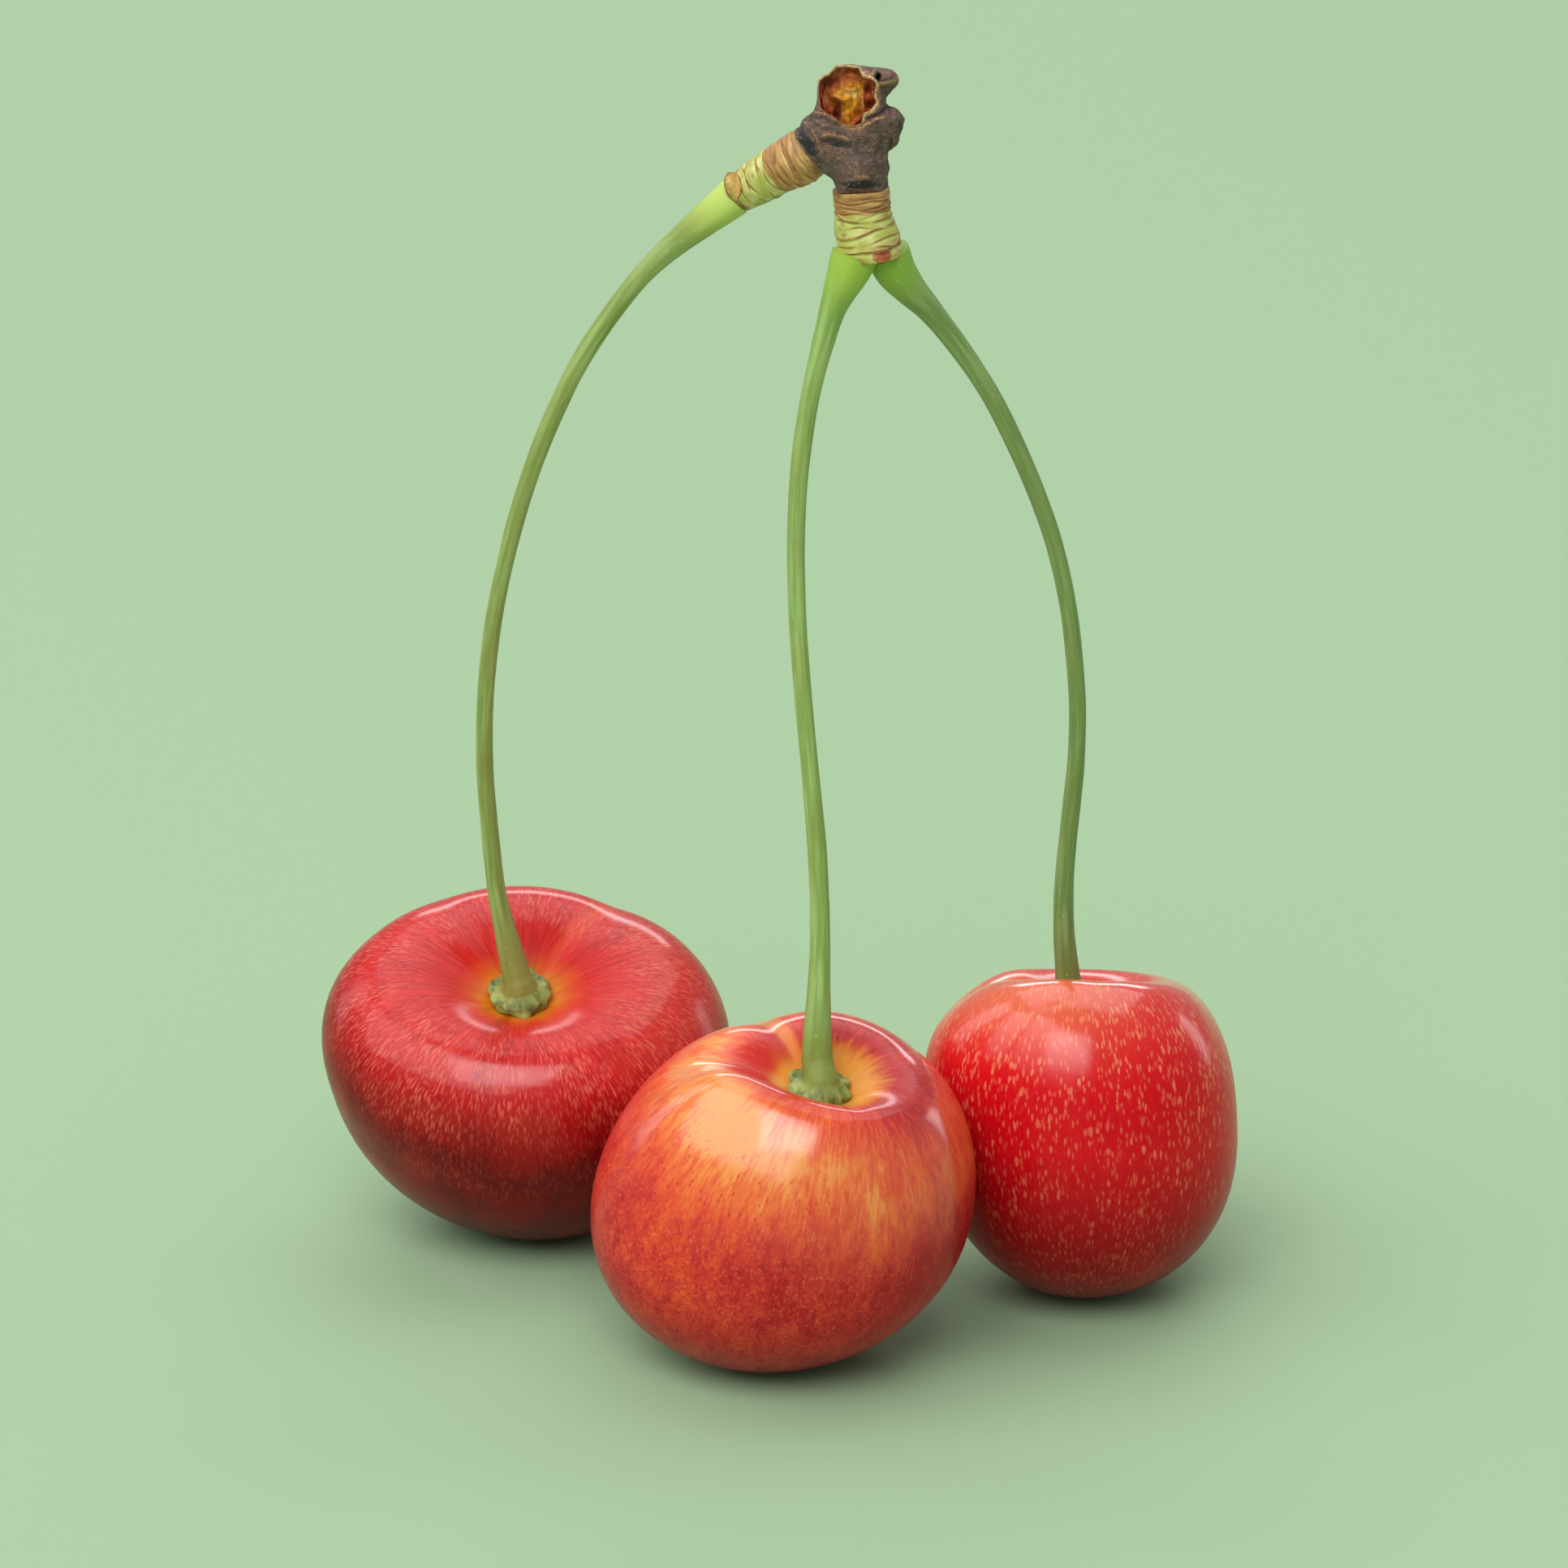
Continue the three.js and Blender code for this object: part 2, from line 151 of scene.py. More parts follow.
class Mat:
    """A node tree with short names for the nodes that the materials below use."""

    def __init__(self, name):
        self.m = bpy.data.materials.new(name)
        self.m.use_nodes = True
        self.t = self.m.node_tree
        self.bsdf = self.t.nodes["Principled BSDF"]

    def put(self, node, key, value):
        if isinstance(value, bpy.types.NodeSocket):
            self.t.links.new(value, node.inputs[key])
        elif value is not None:
            node.inputs[key].default_value = value

    def attr(self, name, out="Fac"):
        n = self.t.nodes.new("ShaderNodeAttribute")
        n.attribute_name = name
        return n.outputs[out]

    def vec(self, name, scale):
        n = self.t.nodes.new("ShaderNodeVectorMath")
        n.operation = "MULTIPLY"
        self.t.links.new(self.attr(name, "Vector"), n.inputs[0])
        n.inputs[1].default_value = scale
        return n.outputs[0]

    def wobble(self, vector, scale, amount):
        """The vector pushed about by noise, so that no cell edge runs straight."""
        n = self.t.nodes.new("ShaderNodeTexNoise")
        self.put(n, "Vector", vector)
        self.put(n, "Scale", scale)
        m = self.t.nodes.new("ShaderNodeVectorMath")
        m.operation = "MULTIPLY_ADD"
        self.t.links.new(n.outputs["Color"], m.inputs[0])
        m.inputs[1].default_value = (amount, amount, amount)
        self.t.links.new(vector, m.inputs[2])
        return m.outputs[0]

    def noise(self, vector, scale=1.0, detail=3.0, rough=0.55, distortion=0.0):
        n = self.t.nodes.new("ShaderNodeTexNoise")
        self.put(n, "Vector", vector)
        self.put(n, "Scale", scale)
        self.put(n, "Detail", detail)
        self.put(n, "Roughness", rough)
        self.put(n, "Distortion", distortion)
        return n.outputs["Fac"]

    def cells(self, vector, scale=1.0, randomness=1.0):
        n = self.t.nodes.new("ShaderNodeTexVoronoi")
        self.put(n, "Vector", vector)
        self.put(n, "Scale", scale)
        self.put(n, "Randomness", randomness)
        return n.outputs["Distance"], n.outputs["Color"]

    def red(self, colour):
        n = self.t.nodes.new("ShaderNodeSeparateColor")
        self.put(n, "Color", colour)
        return n.outputs["Red"]

    def span(self, value, a, b, c=0.0, d=1.0):
        n = self.t.nodes.new("ShaderNodeMapRange")
        n.interpolation_type = "SMOOTHSTEP"
        self.put(n, "Value", value)
        for key, v in (("From Min", a), ("From Max", b), ("To Min", c), ("To Max", d)):
            self.put(n, key, v)
        return n.outputs["Result"]

    def math(self, op, a, b=0.0, clamp=False):
        n = self.t.nodes.new("ShaderNodeMath")
        n.operation = op
        n.use_clamp = clamp
        self.put(n, 0, a)
        self.put(n, 1, b)
        return n.outputs[0]

    def mix(self, fac, a, b, blend="MIX"):
        n = self.t.nodes.new("ShaderNodeMix")
        n.data_type = "RGBA"
        n.blend_type = blend
        self.put(n, 0, fac)
        self.put(n, 6, a)
        self.put(n, 7, b)
        return n.outputs[2]

    def ramp(self, fac, stops):
        n = self.t.nodes.new("ShaderNodeValToRGB")
        el = n.color_ramp.elements
        while len(el) < len(stops):
            el.new(0.5)
        for e, (p, c) in zip(el, stops):
            e.position = p
            e.color = c
        self.put(n, 0, fac)
        return n.outputs[0]

    def bump(self, height, strength, distance_mm, under=None):
        n = self.t.nodes.new("ShaderNodeBump")
        self.put(n, "Height", height)
        self.put(n, "Strength", strength)
        self.put(n, "Distance", distance_mm * MM)
        if under is not None:
            self.put(n, "Normal", under)
        return n.outputs["Normal"]

    def flecks(self, vector, size, keep, inner, outer, wob=0.25):
        """Separate soft-edged spots: keep is the share of cells that has one."""
        v = self.wobble(vector, 1.3 * size, wob)
        dist, colour = self.cells(v, size)
        spot = self.span(dist, outer, inner)
        return self.math("MULTIPLY", spot, self.span(self.red(colour), 1.0 - keep, 1.0 - keep + 0.22))


# ------------------------------------------------------------------ fruits
FRUITS = {
    "left": dict(
        pos=(-16.16, 19.98, 11.51), tilt=(-0.28, -26.51),
        a=12.83, b=11.19, ct=9.44, cb=11.7, nt=2.506, nb=2.173,
        taper=0.0776, tpx=-0.0604, tpy=0.0015, pinch=0.0062, pnx=0.0,
        D=3.6, sg=0.45, cvx=0.0106, cvy=0.0731, qr=0.6,
        rim=(-0.35, 90), suture=(62, 16, 0.5, 0.15), dimple=0.2, cavx=-0.45, shear=0.0,
        wide=(), swell=()),
    "front": dict(
        pos=(0.2, 0.8, 10.76), tilt=(8.35, -16.29),
        a=11.55, b=11.05, ct=11.79, cb=10.99, nt=2.129, nb=2.01,
        taper=-0.0663, tpx=0.0, tpy=0.0, pinch=0.0233, pnx=0.09,
        D=4.12, sg=0.407, cvx=-0.12, cvy=-0.04, qr=0.6,
        rim=(0.3, 150), suture=(118, 18, 0.7, 0.2), dimple=0.2, cavx=0.0, shear=0.1158,
        wide=((-105, 55, -0.30), (172, 26, 0.35)),
        swell=((-140, 40, 0.45, 0.22, 0.7), (-166, 20, 0.64, 0.24, 0.75), (-58, 40, 0.45, 0.2, 0.55), (160, 15, 0.58, 0.26, -0.6))),
    "right": dict(
        pos=(18.8, 11.45, 10.61), tilt=(-1.31, 12.76),
        a=9.75, b=10.5, ct=10.68, cb=10.7, nt=2.619, nb=2.179,
        taper=0.0528, tpx=-0.0632, tpy=0.0039, pinch=0.0066, pnx=0.0,
        D=3.8, sg=0.4185, cvx=0.1233, cvy=-0.0106, qr=0.6,
        rim=(0.2, 0), suture=(-80, 14, 0.1, 0.03), dimple=0.2, cavx=0.0, shear=0.0,
        wide=((172, 24, 0.2),),
        swell=((-90, 72, 0.55, 0.28, 1.1), (172, 17, 0.62, 0.3, -0.9), (90, 60, 0.5, 0.3, -0.1), (138, 22, 0.6, 0.3, 0.15))),
}
# Slow unevenness of each skin: (turns round the fruit, waves up it, size in mm, phase).
LUMPS = {
    "left": ((2, 1.0, 0.06, 0.4), (3, 2.0, 0.05, 1.9), (5, 1.5, 0.03, 4.0)),
    "front": ((2, 1.0, 0.06, 2.2), (3, 2.0, 0.05, 0.3), (4, 3.0, 0.03, 1.0)),
    "right": ((2, 1.0, 0.05, 1.2), (4, 2.0, 0.06, 2.9), (6, 1.5, 0.03, 0.7)),
}
# Extra shallow furrows across the rim of a cavity: (angle, width in degrees, depth in mm).
PLEATS = {
    "left": ((118, 9, 0.22), (150, 12, 0.15)),
    "front": ((40, 16, 0.15), (-62, 14, 0.12)),
    "right": ((150, 14, 0.15),),
}


def axes(f):
    w = np.array([math.tan(math.radians(f["tilt"][0])), math.tan(math.radians(f["tilt"][1])), 1.0])
    w /= np.linalg.norm(w)
    u = np.array([1.0, 0, 0]) - w * w[0]
    u /= np.linalg.norm(u)
    return u, np.cross(w, u), w


def turn(phi, degrees):
    return (phi - math.radians(degrees) + math.pi) % (2 * math.pi) - math.pi


def skin(f, phi, th, extra=None):
    s, c = np.sin(th), -np.cos(th)
    top = c > 0
    n = np.where(top, f["nt"], f["nb"])
    rr = np.abs(s) ** (2 / n)
    hh = np.sign(c) * np.abs(c) ** (2 / n)
    cp, sp = np.cos(phi), np.sin(phi)
    low = np.maximum(0, -hh)
    q = rr * (1 + (f["taper"] + f["tpx"] * cp + f["tpy"] * sp) * hh - (f["pinch"] + f["pnx"] * cp) * low * low)
    x, y = f["a"] * q * cp, f["b"] * q * sp
    h = np.where(top, f["ct"], f["cb"]) * hh
    up = smooth(c / 0.25)
    sg = f["sg"] * (1 + f["cvx"] * cp + f["cvy"] * sp)
    for deg, w, amount in f["wide"]:
        sg = sg * (1 + amount * np.exp(-((turn(phi, deg) / math.radians(w)) ** 2)))
    h = h - f["D"] * np.exp(-((q / sg) ** 2)) * up
    g = (q / f["qr"]) ** 2 * np.exp(1 - (q / f["qr"]) ** 2) * up
    h = h + g * f["rim"][0] * np.cos(phi - math.radians(f["rim"][1]))
    for deg, w, q0, qw, up_by in f["swell"]:
        h = h + up_by * np.exp(-((turn(phi, deg) / math.radians(w)) ** 2) - ((q - q0) / qw) ** 2) * up
    at, wide, notch, crease = f["suture"]
    d = turn(phi, at)
    h = h - notch * np.exp(-((d / math.radians(wide)) ** 2)) * g
    cr = crease * np.exp(-((d / math.radians(wide * 0.45)) ** 2)) * np.maximum(0, s)
    x, y = x - cr * cp, y - cr * sp
    h = h + np.where(top, 0, f["dimple"] * np.exp(-((q / 0.16) ** 2)))
    if extra is not None:
        for deg, wide, deep in PLEATS[extra]:
            h = h - deep * np.exp(-((turn(phi, deg) / math.radians(wide)) ** 2)) * g
        bump = sum(z * np.cos(m * phi + p) * np.sin(k * th + p) for m, k, z, p in LUMPS[extra]) * np.sin(th)
        x, y = x + bump * cp, y + bump * sp
    x = x + f["cavx"] * np.exp(-((q / 0.5) ** 2)) * up + f["shear"] * h
    return np.stack([x, y, h], -1), q, top


def place(f, local):
    u, v, w = axes(f)
    return np.asarray(f["pos"]) + local @ np.stack([u, v, w])


FEET = {}


def build_fruit(name, around=232, rise=180):
    f = FRUITS[name]
    t = np.linspace(0, 1, rise + 1)
    th = math.pi * (t - 0.055 * np.sin(2 * math.pi * t))
    phi = np.arange(around) * 2 * math.pi / around
    P, T = np.meshgrid(phi, th)
    local, q, top = skin(f, P, T, name)
    W = place(f, local)
    # arc length down each meridian from the floor of the cavity, in mm
    step = np.linalg.norm(np.diff(W[::-1], axis=0), axis=-1)
    down = np.concatenate([np.zeros((1, around)), np.cumsum(step, 0)])[::-1]
    lift = -(W[..., 2].min() + SETTLE)
    W[..., 2] += lift
    # the underside settles flat and bulges a little round its edge
    z = W[..., 2]
    near = np.exp(-((z / 0.9) ** 2)) * (z < 2.5)
    centre = W[z < 0.3].mean(0)
    away = W[..., :2] - centre[:2]
    r = np.linalg.norm(away, axis=-1, keepdims=True) + 1e-9
    W[..., :2] += away / r * (0.05 * near * smooth((r[..., 0] - 1.0) / 1.5))[..., None]
    W[..., 2] = np.maximum(W[..., 2], 0.0)
    W += SHIFT
    FEET[name] = (W[-1, 0].copy(), axes(f)[2])
    R = math.sqrt(f["a"] * f["b"])
    pol = np.stack([np.cos(P) * R, np.sin(P) * R, down], -1)
    polar = 2 / math.pi * np.arcsin(np.clip(q, 0, 1))
    lat = np.where(top, polar, 2 - polar)
    sut = np.exp(-((turn(P, f["suture"][0]) / math.radians(9)) ** 2))
    verts = [W[0, 0]] + list(W[1:-1].reshape(-1, 3)) + [W[-1, 0]]

    def flat(a):
        a = np.asarray(a)
        return np.concatenate([a[:1, 0], a[1:-1].reshape((-1,) + a.shape[2:]), a[-1:, 0]])

    faces = []
    ring = lambda i, j: 1 + (i - 1) * around + j % around
    for j in range(around):
        faces.append((0, ring(1, j + 1), ring(1, j)))
        faces.append((len(verts) - 1, ring(rise - 1, j), ring(rise - 1, j + 1)))
        for i in range(1, rise - 1):
            faces.append((ring(i, j), ring(i, j + 1), ring(i + 1, j + 1), ring(i + 1, j)))
    return make_mesh("fruit_" + name, verts, faces, {
        "pol": flat(pol), "lat": flat(lat), "sut": flat(sut),
        "east": flat(np.cos(P) * np.minimum(1, q * 1.4)), "north": flat(np.sin(P) * np.minimum(1, q * 1.4))})


def finish_skin(m, colour, bump_from, rough, gloss):
    b = m.bsdf
    m.put(b, "Base Color", colour)
    m.put(b, "Roughness", rough)
    b.inputs["IOR"].default_value = 1.36
    b.inputs["Specular IOR Level"].default_value = 0.2
    b.inputs["Subsurface Weight"].default_value = 0.12
    b.inputs["Subsurface Radius"].default_value = (1.0, 0.25, 0.12)
    b.inputs["Subsurface Scale"].default_value = 0.0011
    # the wax is thick and glossy on the shoulders and dull underneath
    lat = m.attr("lat")
    m.put(b, "Coat Weight", m.math("MULTIPLY", m.span(lat, 0.95, 0.45, 0.04, gloss), m.span(lat, 0.18, 0.46, 0.25, 1.0)))
    b.inputs["Coat Roughness"].default_value = 0.145
    b.inputs["Coat IOR"].default_value = 1.8
    m.put(b, "Normal", bump_from)
    return m.m


def skin_dark_red():
    m = Mat("skin_dark_red")
    lat, east, north, sut = m.attr("lat"), m.attr("east"), m.attr("north"), m.attr("sut")
    big = m.noise(m.vec("pol", (0.16, 0.16, 0.12)), 1.0, 2.0)
    blotch = m.noise(m.vec("pol", (0.5, 0.5, 0.22)), 1.0, 3.0)
    lat2 = m.math("ADD", lat, m.math("MULTIPLY", m.span(blotch, 0.2, 0.8, -0.035, 0.035), m.span(lat, 0.1, 0.4)))
    # darker towards the underside: partly the skin's own deep red, partly painted shade where the lower half turns away
    # from the light
    base = m.ramp(m.math("MULTIPLY", lat2, 0.5), [
        (0.00, lin(206, 138, 20)), (0.060, lin(212, 128, 22)), (0.080, lin(212, 84, 26)),
        (0.108, lin(200, 34, 24)), (0.17, lin(192, 14, 22)), (0.28, lin(198, 22, 34)),
        (0.335, lin(178, 12, 22)), (0.40, lin(142, 5, 14)), (0.50, lin(110, 3, 12)),
        (0.72, lin(84, 4, 12)), (1.0, lin(68, 4, 12))])
    base = m.mix(m.math("MULTIPLY", m.span(big, 0.42, 0.66), 0.35), base, lin(196, 30, 30))
    base = m.mix(m.math("MULTIPLY", m.span(big, 0.5, 0.3), 0.5), base, lin(150, 4, 12))
    # the right side is a more orange red, which the light has faded
    side = m.math("MULTIPLY", m.span(east, 0.35, 0.95), m.span(lat, 1.25, 0.75))
    side = m.math("MULTIPLY", side, m.span(lat, 0.34, 0.5))
    base = m.mix(m.math("MULTIPLY", side, 0.5), base, lin(200, 58, 42))
    # the suture is an orange line from the cavity over the rim
    line = m.math("MULTIPLY", m.span(sut, 0.45, 0.95), m.span(lat, 0.95, 0.5))
    base = m.mix(m.math("MULTIPLY", line, 0.6), base, lin(208, 70, 34))
    ray = m.noise(m.vec("pol", (2.6, 2.6, 0.5)), 1.0, 3.0, 0.6)
    wall = m.math("MULTIPLY", m.span(lat, 0.16, 0.24), m.span(lat, 0.62, 0.48))
    base = m.mix(m.math("MULTIPLY", m.math("MULTIPLY", wall, m.span(ray, 0.48, 0.70)), 0.5), base, lin(224, 58, 54))
    base = m.mix(m.math("MULTIPLY", m.math("MULTIPLY", wall, m.span(ray, 0.52, 0.32)), 0.5), base, lin(150, 4, 14))
    # fine pale dashes that run away from the stalk
    on = m.math("MULTIPLY", m.span(lat, 0.24, 0.40), m.span(lat, 1.12, 0.66, 0.10, 1.0))
    a = m.flecks(m.vec("pol", (4.6, 4.6, 1.25)), 1.0, 0.85, 0.20, 0.50, 0.45)
    b = m.flecks(m.vec("pol", (7.5, 7.5, 1.9)), 1.0, 0.8, 0.18, 0.50, 0.45)
    dash = m.math("MAXIMUM", a, m.math("MULTIPLY", b, 0.85))
    patch = m.span(m.noise(m.vec("pol", (0.35, 0.35, 0.2)), 1.0, 1.0), 0.36, 0.6, 0.45, 1.0)
    dash = m.math("MULTIPLY", m.math("MULTIPLY", dash, on), patch)
    base = m.mix(m.math("MULTIPLY", dash, 0.62), base, lin(236, 118, 92))
    fine = m.noise(m.vec("pol", (5.0, 5.0, 1.2)), 1.0, 2.0)
    base = m.mix(m.math("MULTIPLY", m.span(fine, 0.35, 0.75, 0.0, 0.16), m.span(lat, 1.2, 0.6)), base, lin(206, 64, 56))
    rough = m.span(fine, 0.3, 0.7, 0.27, 0.35)
    h = m.math("ADD", m.math("MULTIPLY", dash, 0.5), m.noise(m.vec("pol", (1.2, 1.2, 0.7)), 1.0, 2.0))
    return finish_skin(m, base, m.bump(h, 0.25, 0.05), rough, 0.38)


def skin_blush():
    m = Mat("skin_blush")
    lat, east, north, sut = m.attr("lat"), m.attr("east"), m.attr("north"), m.attr("sut")
    big = m.noise(m.vec("pol", (0.14, 0.14, 0.12)), 1.0, 2.0)
    mid = m.noise(m.vec("pol", (0.8, 0.8, 0.45)), 1.0, 4.0, 0.6)
    # how red the skin is: red round the cavity and low down, yellow orange in a band between
    top_red = m.math("MULTIPLY", m.span(lat, 0.52, 0.26), m.span(m.math("ADD", east, m.math("MULTIPLY", north, 0.6)), -1.0, 0.4, 0.35, 1.0))
    low_red = m.span(m.math("SUBTRACT", lat, m.math("MULTIPLY", east, 0.10)), 0.50, 0.92)
    right_red = m.math("MULTIPLY", m.span(east, 0.25, 0.85), m.span(lat, 1.25, 0.75))
    blush = m.math("ADD", m.math("MULTIPLY", top_red, 0.75), m.math("MULTIPLY", low_red, 0.72))
    blush = m.math("ADD", blush, m.math("MULTIPLY", right_red, 0.40))
    blush = m.math("SUBTRACT", blush, m.math("MULTIPLY", m.math("MULTIPLY", m.span(east, 0.0, -0.6), m.span(north, 0.7, -0.2)), m.span(lat, 1.3, 0.7, 0.0, 0.2)))
    blush = m.math("ADD", blush, m.span(big, 0.3, 0.7, -0.04, 0.2))
    blush = m.math("ADD", blush, m.span(mid, 0.3, 0.7, -0.12, 0.16))
    streak = m.noise(m.vec("pol", (4.2, 4.2, 0.8)), 1.0, 2.0)
    worm = m.noise(m.vec("pol", (2.7, 2.7, 2.2)), 1.0, 4.0, 0.66, 1.4)
    grain = m.mix(m.span(lat, 0.6, 0.95), m.span(streak, 0.3, 0.7, -0.12, 0.13), m.span(worm, 0.34, 0.66, -0.19, 0.19))
    blush = m.math("ADD", blush, grain)
    base = m.ramp(blush, [
        (0.00, lin(238, 150, 74)), (0.20, lin(234, 112, 54)), (0.44, lin(224, 80, 46)),
        (0.74, lin(202, 50, 46)), (1.0, lin(176, 28, 34))])
    # the floor of the cavity is yellow
    floor = m.span(m.math("ADD", lat, m.span(mid, 0.3, 0.7, -0.02, 0.02)), 0.25, 0.15)
    base = m.mix(floor, base, lin(222, 146, 56))
    wall = m.math("MULTIPLY", m.span(m.math("ADD", lat, m.math("MULTIPLY", east, 0.05)), 0.36, 0.26), m.span(lat, 0.13, 0.2))
    base = m.mix(m.math("MULTIPLY", m.math("MULTIPLY", wall, m.span(east, 0.2, -0.5)), 0.85), base, lin(190, 28, 26))
    line = m.math("MULTIPLY", m.span(sut, 0.35, 0.95), m.span(lat, 0.75, 0.42))
    base = m.mix(m.math("MULTIPLY", line, 0.85), base, lin(224, 128, 56))
    # darker below the middle: partly the skin's own red, partly painted shade on the underside
    deep = m.span(lat, 0.98, 1.7)
    base = m.mix(m.math("MULTIPLY", deep, 0.7), base, lin(128, 20, 30))
    # pale orange flecks all over, long above and round below
    long_f = m.flecks(m.vec("pol", (5.2, 5.2, 1.4)), 1.0, 0.8, 0.18, 0.48, 0.45)
    round_f = m.flecks(m.vec("pol", (4.0, 4.0, 2.7)), 1.0, 0.55, 0.14, 0.50, 1.1)
    low = m.span(lat, 0.62, 0.9)
    flecks = m.math("ADD", m.math("MULTIPLY", long_f, m.span(lat, 0.9, 0.62)), m.math("MULTIPLY", round_f, low))
    flecks = m.math("MULTIPLY", flecks, m.span(lat, 0.2, 0.36))
    base = m.mix(m.math("MULTIPLY", m.math("MULTIPLY", flecks, m.span(east, 0.9, 0.1, 0.24, 0.42)), m.span(lat, 1.2, 0.62, 0.4, 0.9)), base, lin(238, 138, 98))
    # small red dots, thicker on the shaded left side
    dots = m.flecks(m.vec("pol", (3.2, 3.2, 2.4)), 1.0, 0.34, 0.20, 0.44, 0.7)
    dots = m.math("MULTIPLY", dots, m.math("MULTIPLY", m.span(lat, 0.4, 0.6), m.span(east, 0.5, -0.4, 0.45, 1.0)))
    base = m.mix(m.math("MULTIPLY", dots, 0.62), base, lin(188, 40, 38))
    rough = m.span(streak, 0.3, 0.7, 0.26, 0.34)
    h = m.math("ADD", m.math("MULTIPLY", flecks, 0.4), m.noise(m.vec("pol", (1.1, 1.1, 0.8)), 1.0, 2.0))
    return finish_skin(m, base, m.bump(h, 0.25, 0.05), rough, 0.8)


def skin_bright_red():
    m = Mat("skin_bright_red")
    lat, east, north, sut = m.attr("lat"), m.attr("east"), m.attr("north"), m.attr("sut")
    big = m.noise(m.vec("pol", (0.15, 0.15, 0.12)), 1.0, 2.0)
    # darker towards the underside: partly the skin's own red, partly painted shade on the lower half
    base = m.ramp(m.math("MULTIPLY", lat, 0.5), [
        (0.00, lin(214, 136, 34)), (0.06, lin(212, 110, 34)), (0.10, lin(206, 52, 34)),
        (0.24, lin(218, 48, 38)), (0.36, lin(216, 16, 24)), (0.50, lin(204, 8, 24)),
        (0.68, lin(158, 4, 18)), (1.0, lin(106, 2, 12))])
    # a patch of orange red on the upper left, where leaves shaded it
    west = m.span(m.math("SUBTRACT", m.math("MULTIPLY", east, -1.0), m.math("MULTIPLY", north, 0.45)), -0.25, 0.85)
    west = m.math("MULTIPLY", west, m.math("MULTIPLY", m.span(lat, 0.86, 0.5), m.span(lat, 0.2, 0.35)))
    west = m.math("MULTIPLY", west, m.span(big, 0.25, 0.5, 0.6, 1.0))
    base = m.mix(m.math("MULTIPLY", west, 0.9), base, lin(222, 100, 60))
    base = m.mix(m.math("MULTIPLY", m.span(big, 0.5, 0.7), 0.3), base, lin(206, 34, 38))
    line = m.math("MULTIPLY", m.span(sut, 0.5, 0.97), m.span(lat, 0.62, 0.35))
    base = m.mix(m.math("MULTIPLY", line, 0.8), base, lin(216, 92, 40))
    # short pale flecks, close above and thinner below, some of them large
    small = m.flecks(m.vec("pol", (3.9, 3.9, 1.5)), 1.0, 0.9, 0.20, 0.46, 0.55)
    wide = m.flecks(m.vec("pol", (2.7, 2.7, 1.15)), 1.0, 0.42, 0.22, 0.42, 0.6)
    dense = m.math("MULTIPLY", m.span(lat, 0.22, 0.38), m.span(lat, 1.25, 0.62, 0.30, 1.0))
    patch = m.span(m.noise(m.vec("pol", (0.3, 0.3, 0.25)), 1.0, 1.0), 0.35, 0.62, 0.6, 1.0)
    dash = m.math("MAXIMUM", m.math("MULTIPLY", m.math("MULTIPLY", small, dense), patch),
                  m.math("MULTIPLY", wide, m.math("MULTIPLY", m.span(lat, 0.3, 0.5), m.span(lat, 1.35, 0.75, 0.35, 0.95))))
    base = m.mix(m.math("MULTIPLY", dash, 0.74), base, lin(240, 140, 102))
    fine = m.noise(m.vec("pol", (4.0, 4.0, 1.2)), 1.0, 2.0)
    base = m.mix(m.span(fine, 0.4, 0.75, 0.0, 0.12), base, lin(214, 60, 52))
    rough = m.span(fine, 0.3, 0.7, 0.26, 0.34)
    h = m.math("ADD", m.math("MULTIPLY", dash, 0.5), m.noise(m.vec("pol", (1.2, 1.2, 0.8)), 1.0, 2.0))
    return finish_skin(m, base, m.bump(h, 0.25, 0.05), rough, 1.0)


for name, slot, make in (("left", "skin_dark_red", skin_dark_red), ("front", "skin_blush", skin_blush), ("right", "skin_bright_red", skin_bright_red)):
    ob = build_fruit(name)
    ob.data.materials.append(make())
    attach(ob, "root")
    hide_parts("cherry_" + name)

